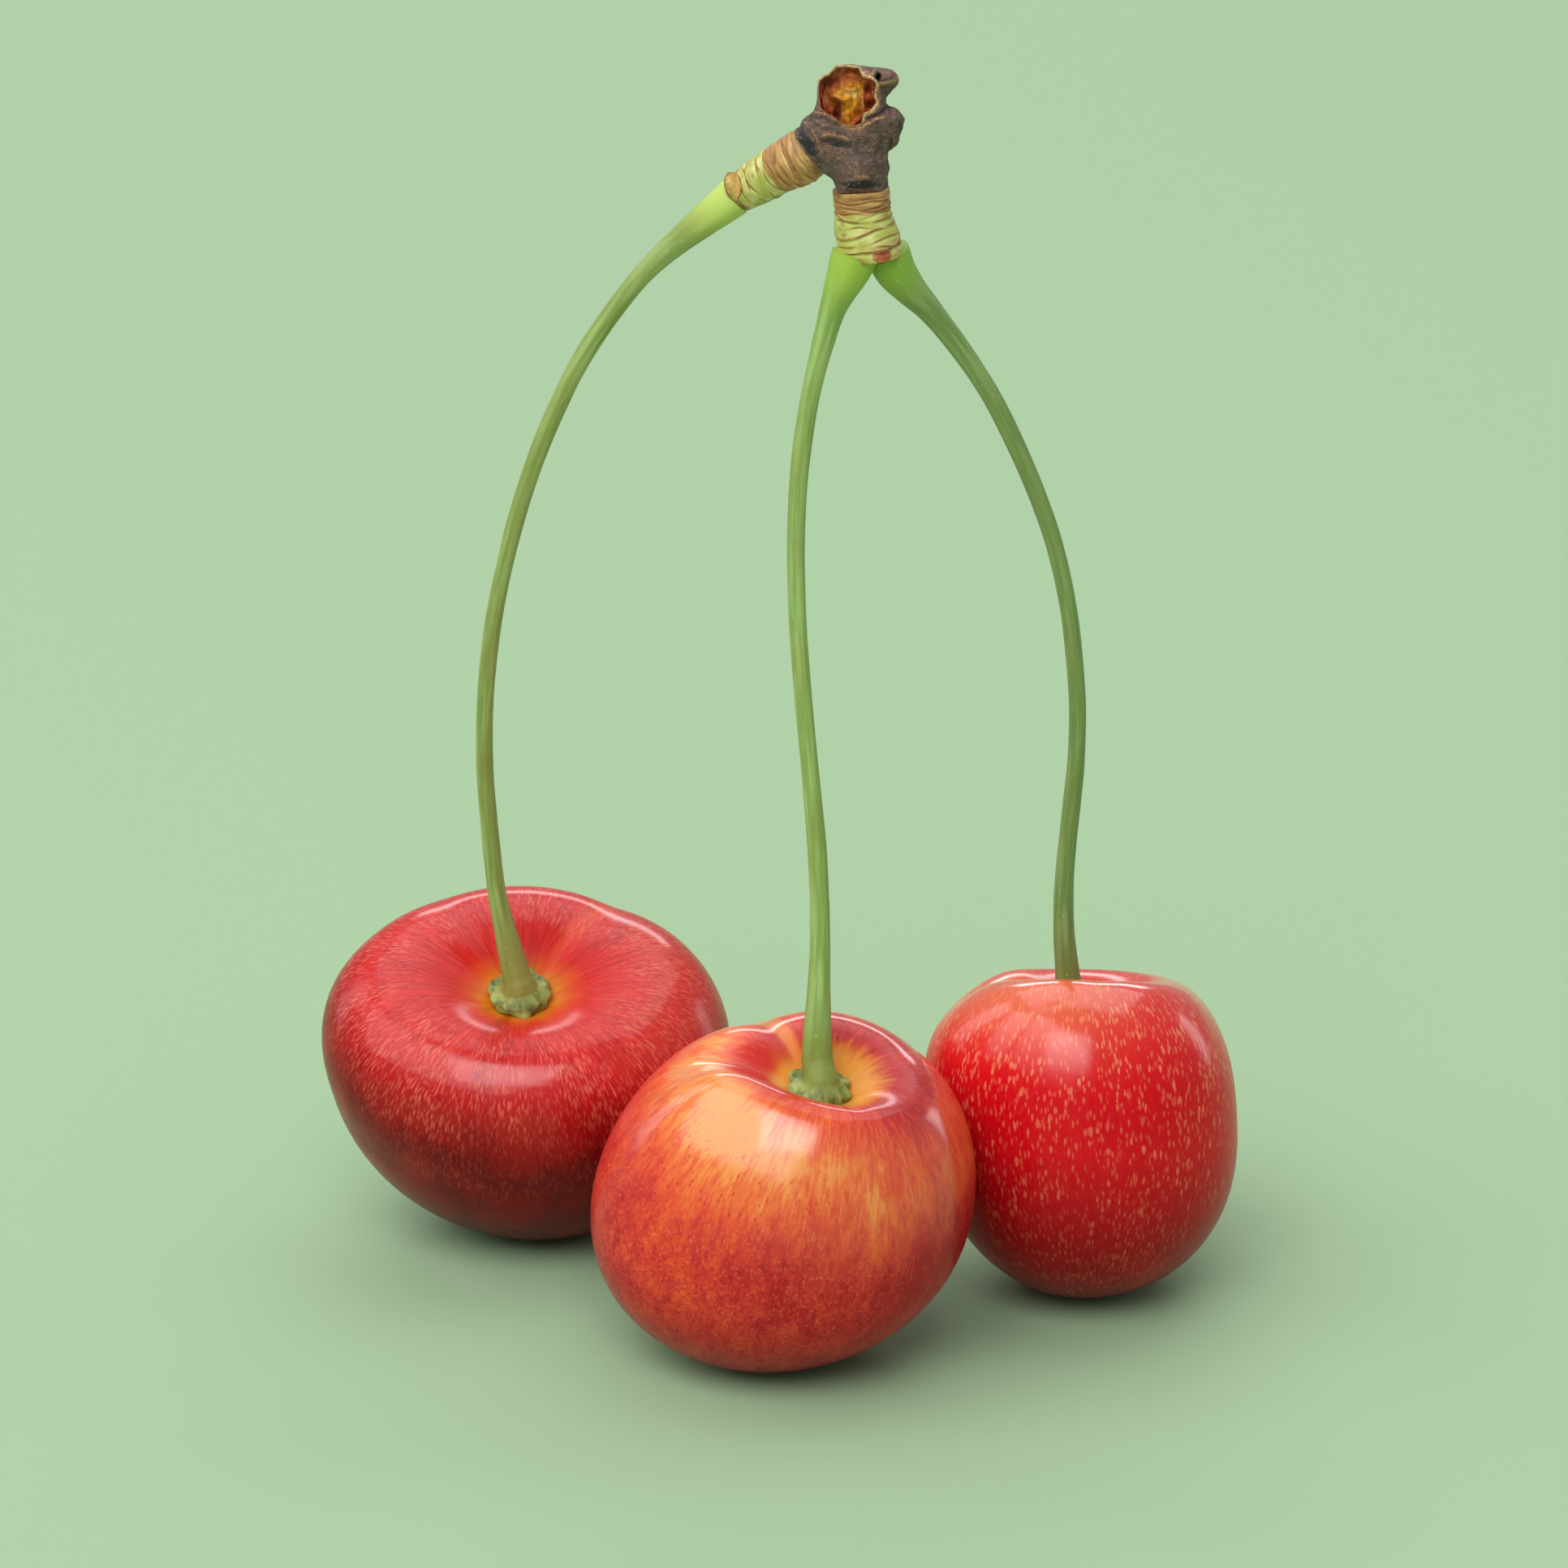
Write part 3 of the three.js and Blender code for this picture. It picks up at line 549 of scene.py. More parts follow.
# ------------------------------------------------------------------ stems
STALKS = {
    "left": [
        (-2.83, 12.0, 70.88, 1.2), (-4.1, 12.06, 69.87, 1.05), (-5.91, 12.15, 68.37, 0.83),
        (-7.29, 12.24, 67.13, 0.69), (-8.47, 12.33, 65.89, 0.61), (-10.11, 12.52, 63.75, 0.59),
        (-11.51, 12.71, 61.64, 0.58), (-12.67, 12.92, 59.53, 0.56), (-14.55, 13.39, 55.26, 0.55),
        (-16.01, 13.9, 50.94, 0.53), (-17.13, 14.43, 46.57, 0.52), (-17.96, 14.97, 42.17, 0.53),
        (-18.44, 15.5, 37.73, 0.52), (-18.57, 16.01, 33.26, 0.54), (-18.43, 16.36, 29.89, 0.55),
        (-18.19, 16.68, 26.52, 0.56), (-17.93, 16.9, 24.0, 0.6), (-17.45, 17.05, 21.4, 0.72),
        (-17.05, 17.0, 19.6, 0.84)],
    "front": [
        (4.34, 9.6, 67.9, 1.42), (3.98, 9.45, 66.95, 1.3), (3.42, 9.2, 65.7, 0.98), (3.0, 9.06, 64.6, 0.79),
        (2.48, 8.76, 62.74, 0.66), (1.98, 8.41, 60.81, 0.59), (1.58, 8.03, 58.9, 0.57),
        (1.05, 7.22, 55.12, 0.56), (0.85, 6.32, 51.36, 0.54), (0.89, 5.37, 47.57, 0.54),
        (0.98, 4.87, 45.67, 0.54), (1.27, 3.87, 41.86, 0.53), (1.64, 2.87, 38.03, 0.53),
        (1.83, 2.37, 36.09, 0.55), (2.08, 1.64, 33.19, 0.59), (2.25, 0.95, 30.29, 0.59),
        (2.29, 0.51, 28.35, 0.61), (2.27, 0.09, 26.41, 0.64), (2.21, -0.31, 24.44, 0.71),
        (2.13, -0.77, 21.95, 0.86), (2.11, -1.07, 20.21, 0.96)],
    "right": [
        (6.28, 10.4, 67.9, 1.36), (6.78, 10.6, 66.7, 1.26), (7.75, 10.78, 65.4, 0.98), (8.85, 10.84, 64.18, 0.77),
        (10.39, 10.87, 62.19, 0.65), (11.78, 10.91, 60.14, 0.59), (12.98, 10.95, 58.07, 0.58),
        (14.89, 11.04, 53.93, 0.55), (16.43, 11.14, 49.75, 0.53), (17.43, 11.24, 45.54, 0.52),
        (17.98, 11.35, 41.3, 0.52), (18.18, 11.43, 38.1, 0.52), (18.13, 11.51, 34.88, 0.54),
        (17.96, 11.56, 32.73, 0.55), (17.6, 11.68, 28.41, 0.58), (17.5, 11.76, 26.24, 0.61),
        (17.55, 11.9, 23.52, 0.66), (17.75, 12.1, 21.33, 0.74), (18.0, 12.3, 19.5, 0.85)],
}
DISC = ((0, 0.6), (0.12, 1.15), (0.3, 1.62), (0.5, 1.86), (0.68, 1.92), (0.84, 1.82), (0.98, 1.5), (1.1, 1.2), (1.35, 1.06), (1.8, 0.96))
SHOOT_LEFT = ((1.9, 10.25, 74.3, 1.34), (1.0, 10.5, 73.68, 1.5), (0.1, 10.8, 73.1, 1.52), (-1.17, 11.4, 72.17, 1.56), (-2.1, 11.8, 71.42, 1.46), (-2.78, 11.98, 70.92, 1.27))
SHOOT_RIGHT = ((4.7, 10.0, 71.95, 1.6), (4.8, 10.0, 70.7, 1.7), (4.95, 10.0, 69.6, 1.92), (5.22, 10.0, 68.5, 2.12), (5.28, 10.02, 67.85, 2.16))


def curve_of(points, count):
    """Centripetal Catmull-Rom through the points, resampled evenly. Returns rows x, y, z, radius."""
    P = np.asarray(points, float)
    ext = np.vstack([2 * P[0] - P[1], P, 2 * P[-1] - P[-2]])
    knots = np.concatenate([[0], np.cumsum(np.maximum(np.linalg.norm(np.diff(ext[:, :3], axis=0), axis=1), 1e-6) ** 0.5)])
    dense = []
    for i in range(1, len(ext) - 2):
        t0, t1, t2, t3 = knots[i - 1:i + 3]
        t = np.linspace(t1, t2, 24, endpoint=False)[:, None]
        p0, p1, p2, p3 = ext[i - 1:i + 3]
        a1 = (t1 - t) / (t1 - t0) * p0 + (t - t0) / (t1 - t0) * p1
        a2 = (t2 - t) / (t2 - t1) * p1 + (t - t1) / (t2 - t1) * p2
        a3 = (t3 - t) / (t3 - t2) * p2 + (t - t2) / (t3 - t2) * p3
        b1 = (t2 - t) / (t2 - t0) * a1 + (t - t0) / (t2 - t0) * a2
        b2 = (t3 - t) / (t3 - t1) * a2 + (t - t1) / (t3 - t1) * a3
        dense.append((t2 - t) / (t2 - t1) * b1 + (t - t1) / (t2 - t1) * b2)
    dense = np.vstack(dense + [P[-1:]])[::-1]  # from the foot up
    s = np.concatenate([[0], np.cumsum(np.linalg.norm(np.diff(dense[:, :3], axis=0), axis=1))])
    if np.ndim(count):
        at = np.asarray(count)
        at = at[at <= s[-1]]
        at = np.append(at, s[-1]) if s[-1] - at[-1] > 1e-6 else at
    else:
        at = np.linspace(0, s[-1], count)
    out = np.stack([np.interp(at, s, dense[:, k]) for k in range(4)], 1)
    # ease the radius so that it has no corners at the points
    k = 5
    pad = np.pad(out[:, 3], k, mode="edge")
    out[:, 3] = np.convolve(pad, np.ones(2 * k + 1) / (2 * k + 1), "valid")
    return out, at


def sweep(name, rows, at, around, shape=None, attrs=None):
    """A closed stem round a centre line. shape(s, angle, radius) returns the radius at each point."""
    C, R = rows[:, :3], rows[:, 3]
    tan = np.gradient(C, axis=0)
    tan /= np.linalg.norm(tan, axis=1, keepdims=True)
    side = np.array([1.0, 0, 0])
    U, V = [], []
    for t in tan:
        side = side - t * side.dot(t)
        side /= np.linalg.norm(side)
        U.append(side)
        V.append(np.cross(t, side))
    U, V = np.array(U), np.array(V)
    a = np.arange(around) * 2 * math.pi / around
    S, A = np.meshgrid(at, a, indexing="ij")
    RR = np.repeat(R[:, None], around, 1)
    if shape is not None:
        RR = shape(S, A, RR)
    W = C[:, None] + RR[..., None] * (np.cos(A)[..., None] * U[:, None] + np.sin(A)[..., None] * V[:, None]) + SHIFT
    n = len(at)
    verts = np.vstack([C[:1] + SHIFT, W.reshape(-1, 3), C[-1:] + SHIFT])
    ring = lambda i, j: 1 + i * around + j % around
    faces = []
    for j in range(around):
        faces.append((0, ring(0, j + 1), ring(0, j)))
        faces.append((len(verts) - 1, ring(n - 1, j), ring(n - 1, j + 1)))
        for i in range(n - 1):
            faces.append((ring(i, j), ring(i, j + 1), ring(i + 1, j + 1), ring(i + 1, j)))
    flat = lambda x, lo, hi: np.concatenate([[lo], np.asarray(x).reshape(-1), [hi]])
    data = {"s": flat(S, at[0], at[-1])}
    cyl = np.stack([np.cos(A) * 0.6, np.sin(A) * 0.6, S], -1).reshape(-1, 3)
    data["cyl"] = np.vstack([[0, 0, at[0]], cyl, [0, 0, at[-1]]])
    for key, fn in (attrs or {}).items():
        v = fn(S, A, W)
        data[key] = flat(v, v[0].mean(), v[-1].mean())
    return make_mesh(name, verts, faces, data)


def bell(x, w):
    return np.exp(-((x / w) ** 2))


def build_stalk(name, seed):
    foot, w = FEET[name]
    foot = foot - SHIFT
    end, neck = foot + w * (FOOT_GAP - 0.25), foot + w * (FOOT_GAP + 0.85)
    pts = STALKS[name] + [(*neck, 0.95), (*end, 0.95)]
    near = np.concatenate([np.linspace(0, 2.0, 64), np.linspace(2.03, 5.0, 60)])
    at = np.concatenate([near, np.arange(5.08, 80, 0.17)])
    rows, at = curve_of(pts, at)

    def shape(S, A, R):
        p = np.stack([np.cos(A) * 0.5 + seed, np.sin(A) * 0.5, S * 0.35], -1)
        out = R * (1 + 0.022 * np.cos(3 * A + 0.05 * S + seed) + 0.016 * np.cos(5 * A - 0.08 * S) + 0.035 * fbm(p, 1.3))
        # the disc: a ragged collar of small lobes
        prof = np.interp(S, [x for x, _ in DISC], [r for _, r in DISC])
        blend = smooth((1.9 - S) / 0.5)
        out = out * (1 - blend) + prof * blend
        lobes = 0.10 * np.abs(np.cos(4.5 * A + seed)) ** 0.6 + 0.07 * np.cos(7 * A + 2 * seed) * np.sin(9 * S)
        q = np.stack([np.cos(A) * 1.9, np.sin(A) * 1.9 + seed, S], -1)
        rag = 0.16 * fbm(q, 1.6, 3)
        collar = bell(S - 0.6, 0.42)
        return out * (1 + collar * (lobes - 0.07 + rag))

    def collar(S, A, W):
        return smooth((1.25 - S) / 0.35)

    def tip(S, A, W):
        return smooth((S - (S.max() - 4.5)) / 4.0)

    return sweep("pedicel_" + name, rows, at, 36, shape, {"collar": collar, "tip": tip})


def stalk_green(tag, mid, pale, low, tip_colour, low_to):
    m = Mat("stalk_green_" + tag)
    s, collar, tip = m.attr("s"), m.attr("collar"), m.attr("tip")
    stripe = m.noise(m.vec("cyl", (3.2, 3.2, 0.22)), 1.0, 3.0)
    cloud = m.noise(m.vec("cyl", (0.5, 0.5, 0.14)), 1.0, 2.0)
    base = m.mix(m.span(stripe, 0.35, 0.68), mid, pale)
    base = m.mix(m.math("MULTIPLY", m.span(cloud, 0.4, 0.68), 0.45), base, low)
    base = m.mix(m.math("MULTIPLY", m.span(s, low_to, 1.5), 0.85), base, low)
    base = m.mix(m.math("MULTIPLY", tip, 0.9), base, tip_colour)
    # tiny pale pores and a few brown marks
    pores = m.flecks(m.vec("cyl", (3.6, 3.6, 2.2)), 1.0, 0.3, 0.08, 0.24, 0.3)
    base = m.mix(m.math("MULTIPLY", pores, 0.55), base, lin(190, 200, 128))
    marks = m.flecks(m.vec("cyl", (1.5, 1.5, 0.8)), 1.0, 0.10, 0.06, 0.2, 0.5)
    base = m.mix(m.math("MULTIPLY", marks, 0.65), base, lin(92, 74, 36))
    # the collar: pale green lobes, with painted shade darkening the hollows between them
    rag = m.noise(m.vec("cyl", (3.0, 3.0, 2.4)), 1.0, 4.0, 0.65)
    lobe_and_hollow_shade = m.ramp(rag, [(0.30, lin(62, 66, 32)), (0.46, lin(120, 132, 62)), (0.62, lin(164, 172, 96)), (0.8, lin(186, 192, 128))])
    base = m.mix(collar, base, lobe_and_hollow_shade)
    m.put(m.bsdf, "Base Color", base)
    m.put(m.bsdf, "Roughness", m.span(stripe, 0.3, 0.7, 0.42, 0.58))
    m.bsdf.inputs["IOR"].default_value = 1.4
    m.bsdf.inputs["Subsurface Weight"].default_value = 0.08
    m.bsdf.inputs["Subsurface Radius"].default_value = (0.5, 0.8, 0.2)
    m.bsdf.inputs["Subsurface Scale"].default_value = 0.0004
    h = m.math("ADD", stripe, m.math("MULTIPLY", rag, collar))
    h = m.math("ADD", h, m.math("MULTIPLY", pores, 0.4))
    m.put(m.bsdf, "Normal", m.bump(h, 0.5, 0.06))
    return m.m


for name, seed, mat in (
    ("left", 0.3, stalk_green("left", lin(128, 152, 74), lin(158, 180, 108), lin(138, 132, 58), lin(190, 212, 104), 8.0)),
    ("front", 1.7, stalk_green("front", lin(126, 158, 76), lin(156, 184, 108), lin(124, 136, 56), lin(158, 190, 66), 7.0)),
    ("right", 2.9, stalk_green("right", lin(106, 136, 70), lin(134, 160, 96), lin(116, 134, 62), lin(142, 178, 62), 7.0)),
):
    ob = build_stalk(name, seed)
    ob.data.materials.append(mat)
    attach(ob, "root")
    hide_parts("stalk_" + name)

# ------------------------------------------------------------------ ringed shoots
# Ring scars: (distance from the outer end in mm, half width, height, slant in mm).
RINGS = {
    "left": ((0.30, 0.09, 0.06, 0.10), (0.55, 0.05, 0.03, 0.22), (1.30, 0.07, 0.05, 0.24), (1.62, 0.05, 0.03, -0.12), (2.20, 0.08, 0.06, 0.26),
             (2.62, 0.05, 0.03, -0.20), (2.95, 0.07, 0.05, 0.16), (3.22, 0.05, 0.04, 0.05), (3.46, 0.06, 0.05, 0.12), (3.72, 0.04, 0.03, -0.10),
             (3.92, 0.06, 0.05, 0.10), (4.20, 0.05, 0.04, 0.14), (4.45, 0.05, 0.05, -0.06), (4.75, 0.06, 0.04, 0.08), (5.05, 0.06, 0.05, 0.05)),
    "right": ((0.10, 0.10, 0.06, 0.12), (0.52, 0.06, 0.03, -0.22), (0.80, 0.08, 0.05, 0.18), (1.06, 0.05, 0.03, -0.12), (1.80, 0.08, 0.06, 0.16),
              (2.05, 0.05, 0.03, -0.10), (2.55, 0.07, 0.06, -0.08), (2.78, 0.05, 0.04, 0.10), (3.02, 0.05, 0.04, -0.06), (3.22, 0.06, 0.05, 0.05),
              (3.45, 0.05, 0.04, -0.04), (3.66, 0.05, 0.04, 0.06)),
}
# Stretches where the bark has turned from green to tan: (from, to, how much).
TANNED = {"left": ((-1, 0.5, 0.8), (3.15, 9, 1.0)), "right": ((-1, 0.4, 0.75), (0.6, 1.05, 0.3), (2.75, 9, 1.0))}
SCARS = {  # a corky scar on the side that faces the viewer: (a point, half width and height), height of the pad
    "left": ((-3.0, 10.6, 71.85), (0.66, 0.92), 0.14),
    "right": ((5.95, 8.05, 68.25), (0.58, 0.40), 0.12),
}


def build_shoot(name, points, seed):
    rows, at = curve_of(points, 190)
    scar_at, scar_r, scar_h = SCARS[name]
    scar_at = np.array(scar_at) + SHIFT

    def wave(S, A, k, slant):
        p = np.stack([np.cos(A) * 0.8 + k * 3.1, np.sin(A) * 0.8 + seed, np.full_like(A, 0.37 * k)], -1)
        return S + slant * np.cos(A + 0.9 + 0.4 * k) + 0.20 * fbm(p, 1.5, 2) + 0.06 * np.cos(3 * A + 1.7 * k)

    def broken(S, A, k):
        p = np.stack([np.cos(A) + 5.0 + k * 1.7, np.sin(A) + seed, np.full_like(A, 0.9 * k)], -1)
        return 0.12 + 0.88 * smooth((vnoise(p, 1.5) + 0.45) / 0.7)

    def ring_field(S, A, W):
        out = np.zeros_like(S)
        for k, (c, w, h, slant) in enumerate(RINGS[name]):
            out = np.maximum(out, broken(S, A, k) * bell(wave(S, A, k, slant) - c, w * 1.15))
        return out

    def shape(S, A, R):
        add = np.zeros_like(S)
        for k, (c, w, h, slant) in enumerate(RINGS[name]):
            d = wave(S, A, k, slant) - c
            b = broken(S, A, k)
            # a scale's edge: a thin lip with a step down on the side of the tip
            add += b * (h * bell(d, w) - 1.3 * h * bell(d + 2.0 * w, w * 1.2)) + 0.35 * h * np.tanh(d / (2 * w))
        p = np.stack([np.cos(A) * 1.5 + seed, np.sin(A) * 1.5, S], -1)
        return R - 0.08 + add + 0.08 * fbm(p, 0.9, 3) + 0.04 * np.cos(3 * A + seed)

    def tanned(S, A, W):
        p = np.stack([np.cos(A) * 1.6 + seed, np.sin(A) * 1.6, S], -1)
        x = S + 0.35 * fbm(p, 0.8, 3)
        return np.clip(sum(m * smooth((x - a) / 0.22) * smooth((b - x) / 0.22) for a, b, m in TANNED[name]), 0, 1)

    def scar(S, A, W):
        d = W - scar_at
        wob = 0.10 * fbm(W, 1.6, 2)
        return smooth((1.0 + wob - np.sqrt((d[..., 0] / scar_r[0]) ** 2 + (d[..., 2] / scar_r[1]) ** 2)) / 0.25) * (d[..., 1] < 1.4)

    ob = sweep("bud_axis_" + name, rows, at, 96, shape, {"ring": ring_field, "scar": scar, "old": tanned})
    # raise the scar's pad
    me = ob.data
    co = np.empty(len(me.vertices) * 3, np.float32)
    no = np.empty(len(me.vertices) * 3, np.float32)
    me.vertices.foreach_get("co", co)
    me.vertices.foreach_get("normal", no)
    mask = np.empty(len(me.vertices), np.float32)
    me.attributes["scar"].data.foreach_get("value", mask)
    lift = (mask - 0.5 * smooth((mask - 0.6) / 0.4)) * 1.6 * scar_h
    co = co.reshape(-1, 3) + no.reshape(-1, 3) * (lift * MM)[:, None]
    me.vertices.foreach_set("co", co.ravel())
    me.update()
    return ob


def shoot_bark(tag, scar_colour):
    m = Mat("shoot_bark_" + tag)
    ring, old, scar = m.attr("ring"), m.attr("old"), m.attr("scar")
    grain = m.noise(m.vec("cyl", (2.4, 2.4, 1.1)), 1.0, 4.0, 0.6)
    fine = m.noise(m.vec("cyl", (7.0, 7.0, 9.0)), 1.0, 3.0, 0.65)
    green = m.mix(m.span(grain, 0.35, 0.68), lin(170, 174, 72), lin(212, 214, 134))
    green = m.mix(m.span(m.noise(m.vec("cyl", (1.1, 1.1, 0.9)), 1.0, 2.0), 0.5, 0.7, 0.0, 0.5), green, lin(176, 164, 78))
    tan = m.ramp(m.noise(m.vec("cyl", (1.6, 1.6, 3.4)), 1.0, 4.0, 0.62), [
        (0.30, lin(104, 66, 36)), (0.44, lin(158, 112, 60)), (0.58, lin(196, 152, 90)), (0.74, lin(220, 188, 130))])
    base = m.mix(old, green, tan)
    near = m.math("MULTIPLY", m.span(ring, 0.03, 0.4), m.span(grain, 0.3, 0.6, 0.5, 1.0))
    base = m.mix(m.math("MULTIPLY", near, 0.6), base, lin(186, 136, 72))
    edge = m.math("MULTIPLY", m.span(ring, 0.45, 0.85), m.span(fine, 0.3, 0.55, 0.5, 1.0))
    base = m.mix(m.math("MULTIPLY", edge, 0.9), base, m.mix(m.span(fine, 0.4, 0.62), lin(98, 60, 32), lin(150, 100, 54)))
    spots = m.flecks(m.vec("cyl", (3.4, 3.4, 3.0)), 1.0, 0.35, 0.16, 0.42, 0.7)
    base = m.mix(m.math("MULTIPLY", spots, 0.45), base, lin(112, 74, 44))
    cork = m.noise(m.vec("cyl", (5.0, 5.0, 5.0)), 1.0, 4.0, 0.7)
    base = m.mix(scar, base, m.mix(m.span(cork, 0.35, 0.68), scar_colour[0], scar_colour[1]))
    hem = m.math("MULTIPLY", m.span(scar, 0.02, 0.25), m.span(scar, 0.75, 0.4))
    base = m.mix(m.math("MULTIPLY", hem, 0.7), base, lin(110, 72, 40))
    m.put(m.bsdf, "Base Color", base)
    m.put(m.bsdf, "Roughness", m.span(ring, 0.0, 1.0, 0.5, 0.72))
    h = m.math("ADD", m.math("MULTIPLY", grain, 0.6), m.math("MULTIPLY", cork, 0.5))
    m.put(m.bsdf, "Normal", m.bump(h, 0.5, 0.08))
    return m.m


for name, pts, seed, colours in (
    ("left", SHOOT_LEFT, 0.4, (lin(196, 142, 60), lin(222, 184, 112))),
    ("right", SHOOT_RIGHT, 2.1, (lin(150, 66, 40), lin(196, 112, 62))),
):
    ob = build_shoot(name, pts, seed)
    ob.data.materials.append(shoot_bark(name, colours))
    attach(ob, "root")
    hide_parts("shoot_" + name)


# the oval scar a lost stem left at the end of the left shoot: a low corky button
def build_button():
    t, a = np.meshgrid(np.linspace(0, 1, 25), np.arange(56) * 2 * math.pi / 56, indexing="ij")
    th = math.pi * t
    out, r = -np.cos(th), np.sin(th) ** 0.7
    across, along = np.array([0.93, 0.30, 0.22]), np.array([-0.26, 0.10, 0.96])
    across, along = across / np.linalg.norm(across), along / np.linalg.norm(along)
    face = np.cross(along, across)
    p = np.stack([np.cos(a) * r, np.sin(a) * r, out], -1)
    edge = 1 + 0.07 * fbm(np.stack([np.cos(a) + 3, np.sin(a), 0 * a], -1), 1.5, 3)
    dish = -0.10 * bell(r, 0.75) * (out < 0) + 0.05 * fbm(p + 2, 2.4, 3)
    W = (np.array((-2.93, 11.02, 71.78)) + (r * np.cos(a) * edge * 0.54)[..., None] * across
         + (r * np.sin(a) * edge * 0.93)[..., None] * along + ((out * 0.36 - dish) * 1.0)[..., None] * -face * np.sign(face[1]))
    flat = lambda x: np.concatenate([x[:1, 0], x[1:-1].reshape((-1,) + x.shape[2:]), x[-1:, 0]])
    ring = lambda i, j: 1 + (i - 1) * 56 + j % 56
    faces, n = [], 2 + 23 * 56
    for j in range(56):
        faces.append((0, ring(1, j), ring(1, j + 1)))
        faces.append((n - 1, ring(23, j + 1), ring(23, j)))
        for i in range(1, 23):
            faces.append((ring(i, j + 1), ring(i, j), ring(i + 1, j), ring(i + 1, j + 1)))
    ob = make_mesh("oval_scar", flat(W) + SHIFT, faces, {"at": flat(W), "rim": flat(r * 1.0)})
    import bmesh
    bm = bmesh.new()
    bm.from_mesh(ob.data)
    bmesh.ops.recalc_face_normals(bm, faces=bm.faces)
    bm.to_mesh(ob.data)
    bm.free()
    return ob


def cork():
    m = Mat("scar_cork")
    rim = m.attr("rim")
    coarse = m.noise(m.vec("at", (2.6, 2.6, 2.6)), 1.0, 4.0, 0.65)
    fine = m.noise(m.vec("at", (8.0, 8.0, 8.0)), 1.0, 3.0, 0.65)
    base = m.mix(m.span(coarse, 0.36, 0.66), lin(176, 134, 66), lin(218, 186, 110))
    base = m.mix(m.math("MULTIPLY", m.span(fine, 0.55, 0.7), 0.6), base, lin(132, 92, 46))
    base = m.mix(m.math("MULTIPLY", m.span(rim, 0.86, 0.98), 0.75), base, lin(120, 84, 44))
    m.put(m.bsdf, "Base Color", base)
    m.put(m.bsdf, "Roughness", m.span(fine, 0.3, 0.7, 0.6, 0.8))
    m.put(m.bsdf, "Normal", m.bump(m.math("ADD", coarse, m.math("MULTIPLY", fine, 0.5)), 0.5, 0.06))
    return m.m


ob = build_button()
ob.data.materials.append(cork())
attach(ob, "root")
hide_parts("shoot_left")

# ------------------------------------------------------------------ the spur
# The spur's face is laid out on a plane through SPUR_AT that leans back 20 degrees, in mm to the right and up from SPUR_AT.
SPUR_AT, SPUR_UP, SPUR_OUT = np.array([4.162, 10.0, 76.046]), np.array([0, 0.34202, 0.93969]), np.array([0, -0.93969, 0.34202])
OUTLINE = ((-0.94, 3.26), (-0.24, 3.29), (0.48, 3.23), (1.02, 3.15), (1.69, 3.09), (2.42, 2.95), (2.66, 2.71), (2.76, 2.37), (2.66, 2.08), (2.37, 1.84), (2.13, 1.60), (2.01, 1.45), (2.01, 1.14), (2.22, 0.97), (2.61, 0.77), (2.90, 0.48), (3.09, 0.15), (3.05, -0.39), (2.80, -0.87), (2.61, -1.26), (2.27, -1.60), (2.18, -1.74), (2.20, -2.18), (2.18, -2.90), (2.14, -3.87), (2.13, -4.64), (0.53, -4.74), (-1.02, -4.64), (-1.09, -3.87), (-1.14, -3.43), (-1.26, -3.29), (-1.55, -3.29), (-2.03, -3.39), (-2.85, -3.10), (-3.53, -1.93), (-3.92, -0.97), (-3.63, -0.48), (-3.22, -0.29), (-3.05, -0.10), (-2.76, 0.19), (-2.42, 0.53), (-2.22, 0.97), (-2.09, 1.45), (-2.07, 2.08), (-1.88, 2.42), (-1.50, 2.63), (-1.21, 2.87), (-1.06, 3.10))
TEAR = ((-0.92, 3.05), (-0.53, 3.07), (-0.05, 3.04), (0.36, 2.95), (0.48, 2.71), (0.63, 2.47), (1.02, 2.36), (1.31, 2.25), (1.40, 1.98), (1.32, 1.64), (1.28, 1.31), (1.45, 1.02), (1.21, 0.68), (0.97, 0.48), (0.68, 0.39), (0.59, 0.05), (0.48, -0.24), (0.19, -0.35), (-0.15, -0.39), (-0.48, -0.30), (-0.73, -0.19), (-1.02, -0.00), (-1.21, 0.23), (-1.55, 0.39), (-1.84, 0.63), (-1.92, 0.97), (-1.97, 1.45), (-1.99, 1.93), (-1.93, 2.27), (-1.69, 2.47), (-1.35, 2.60), (-1.16, 2.83))
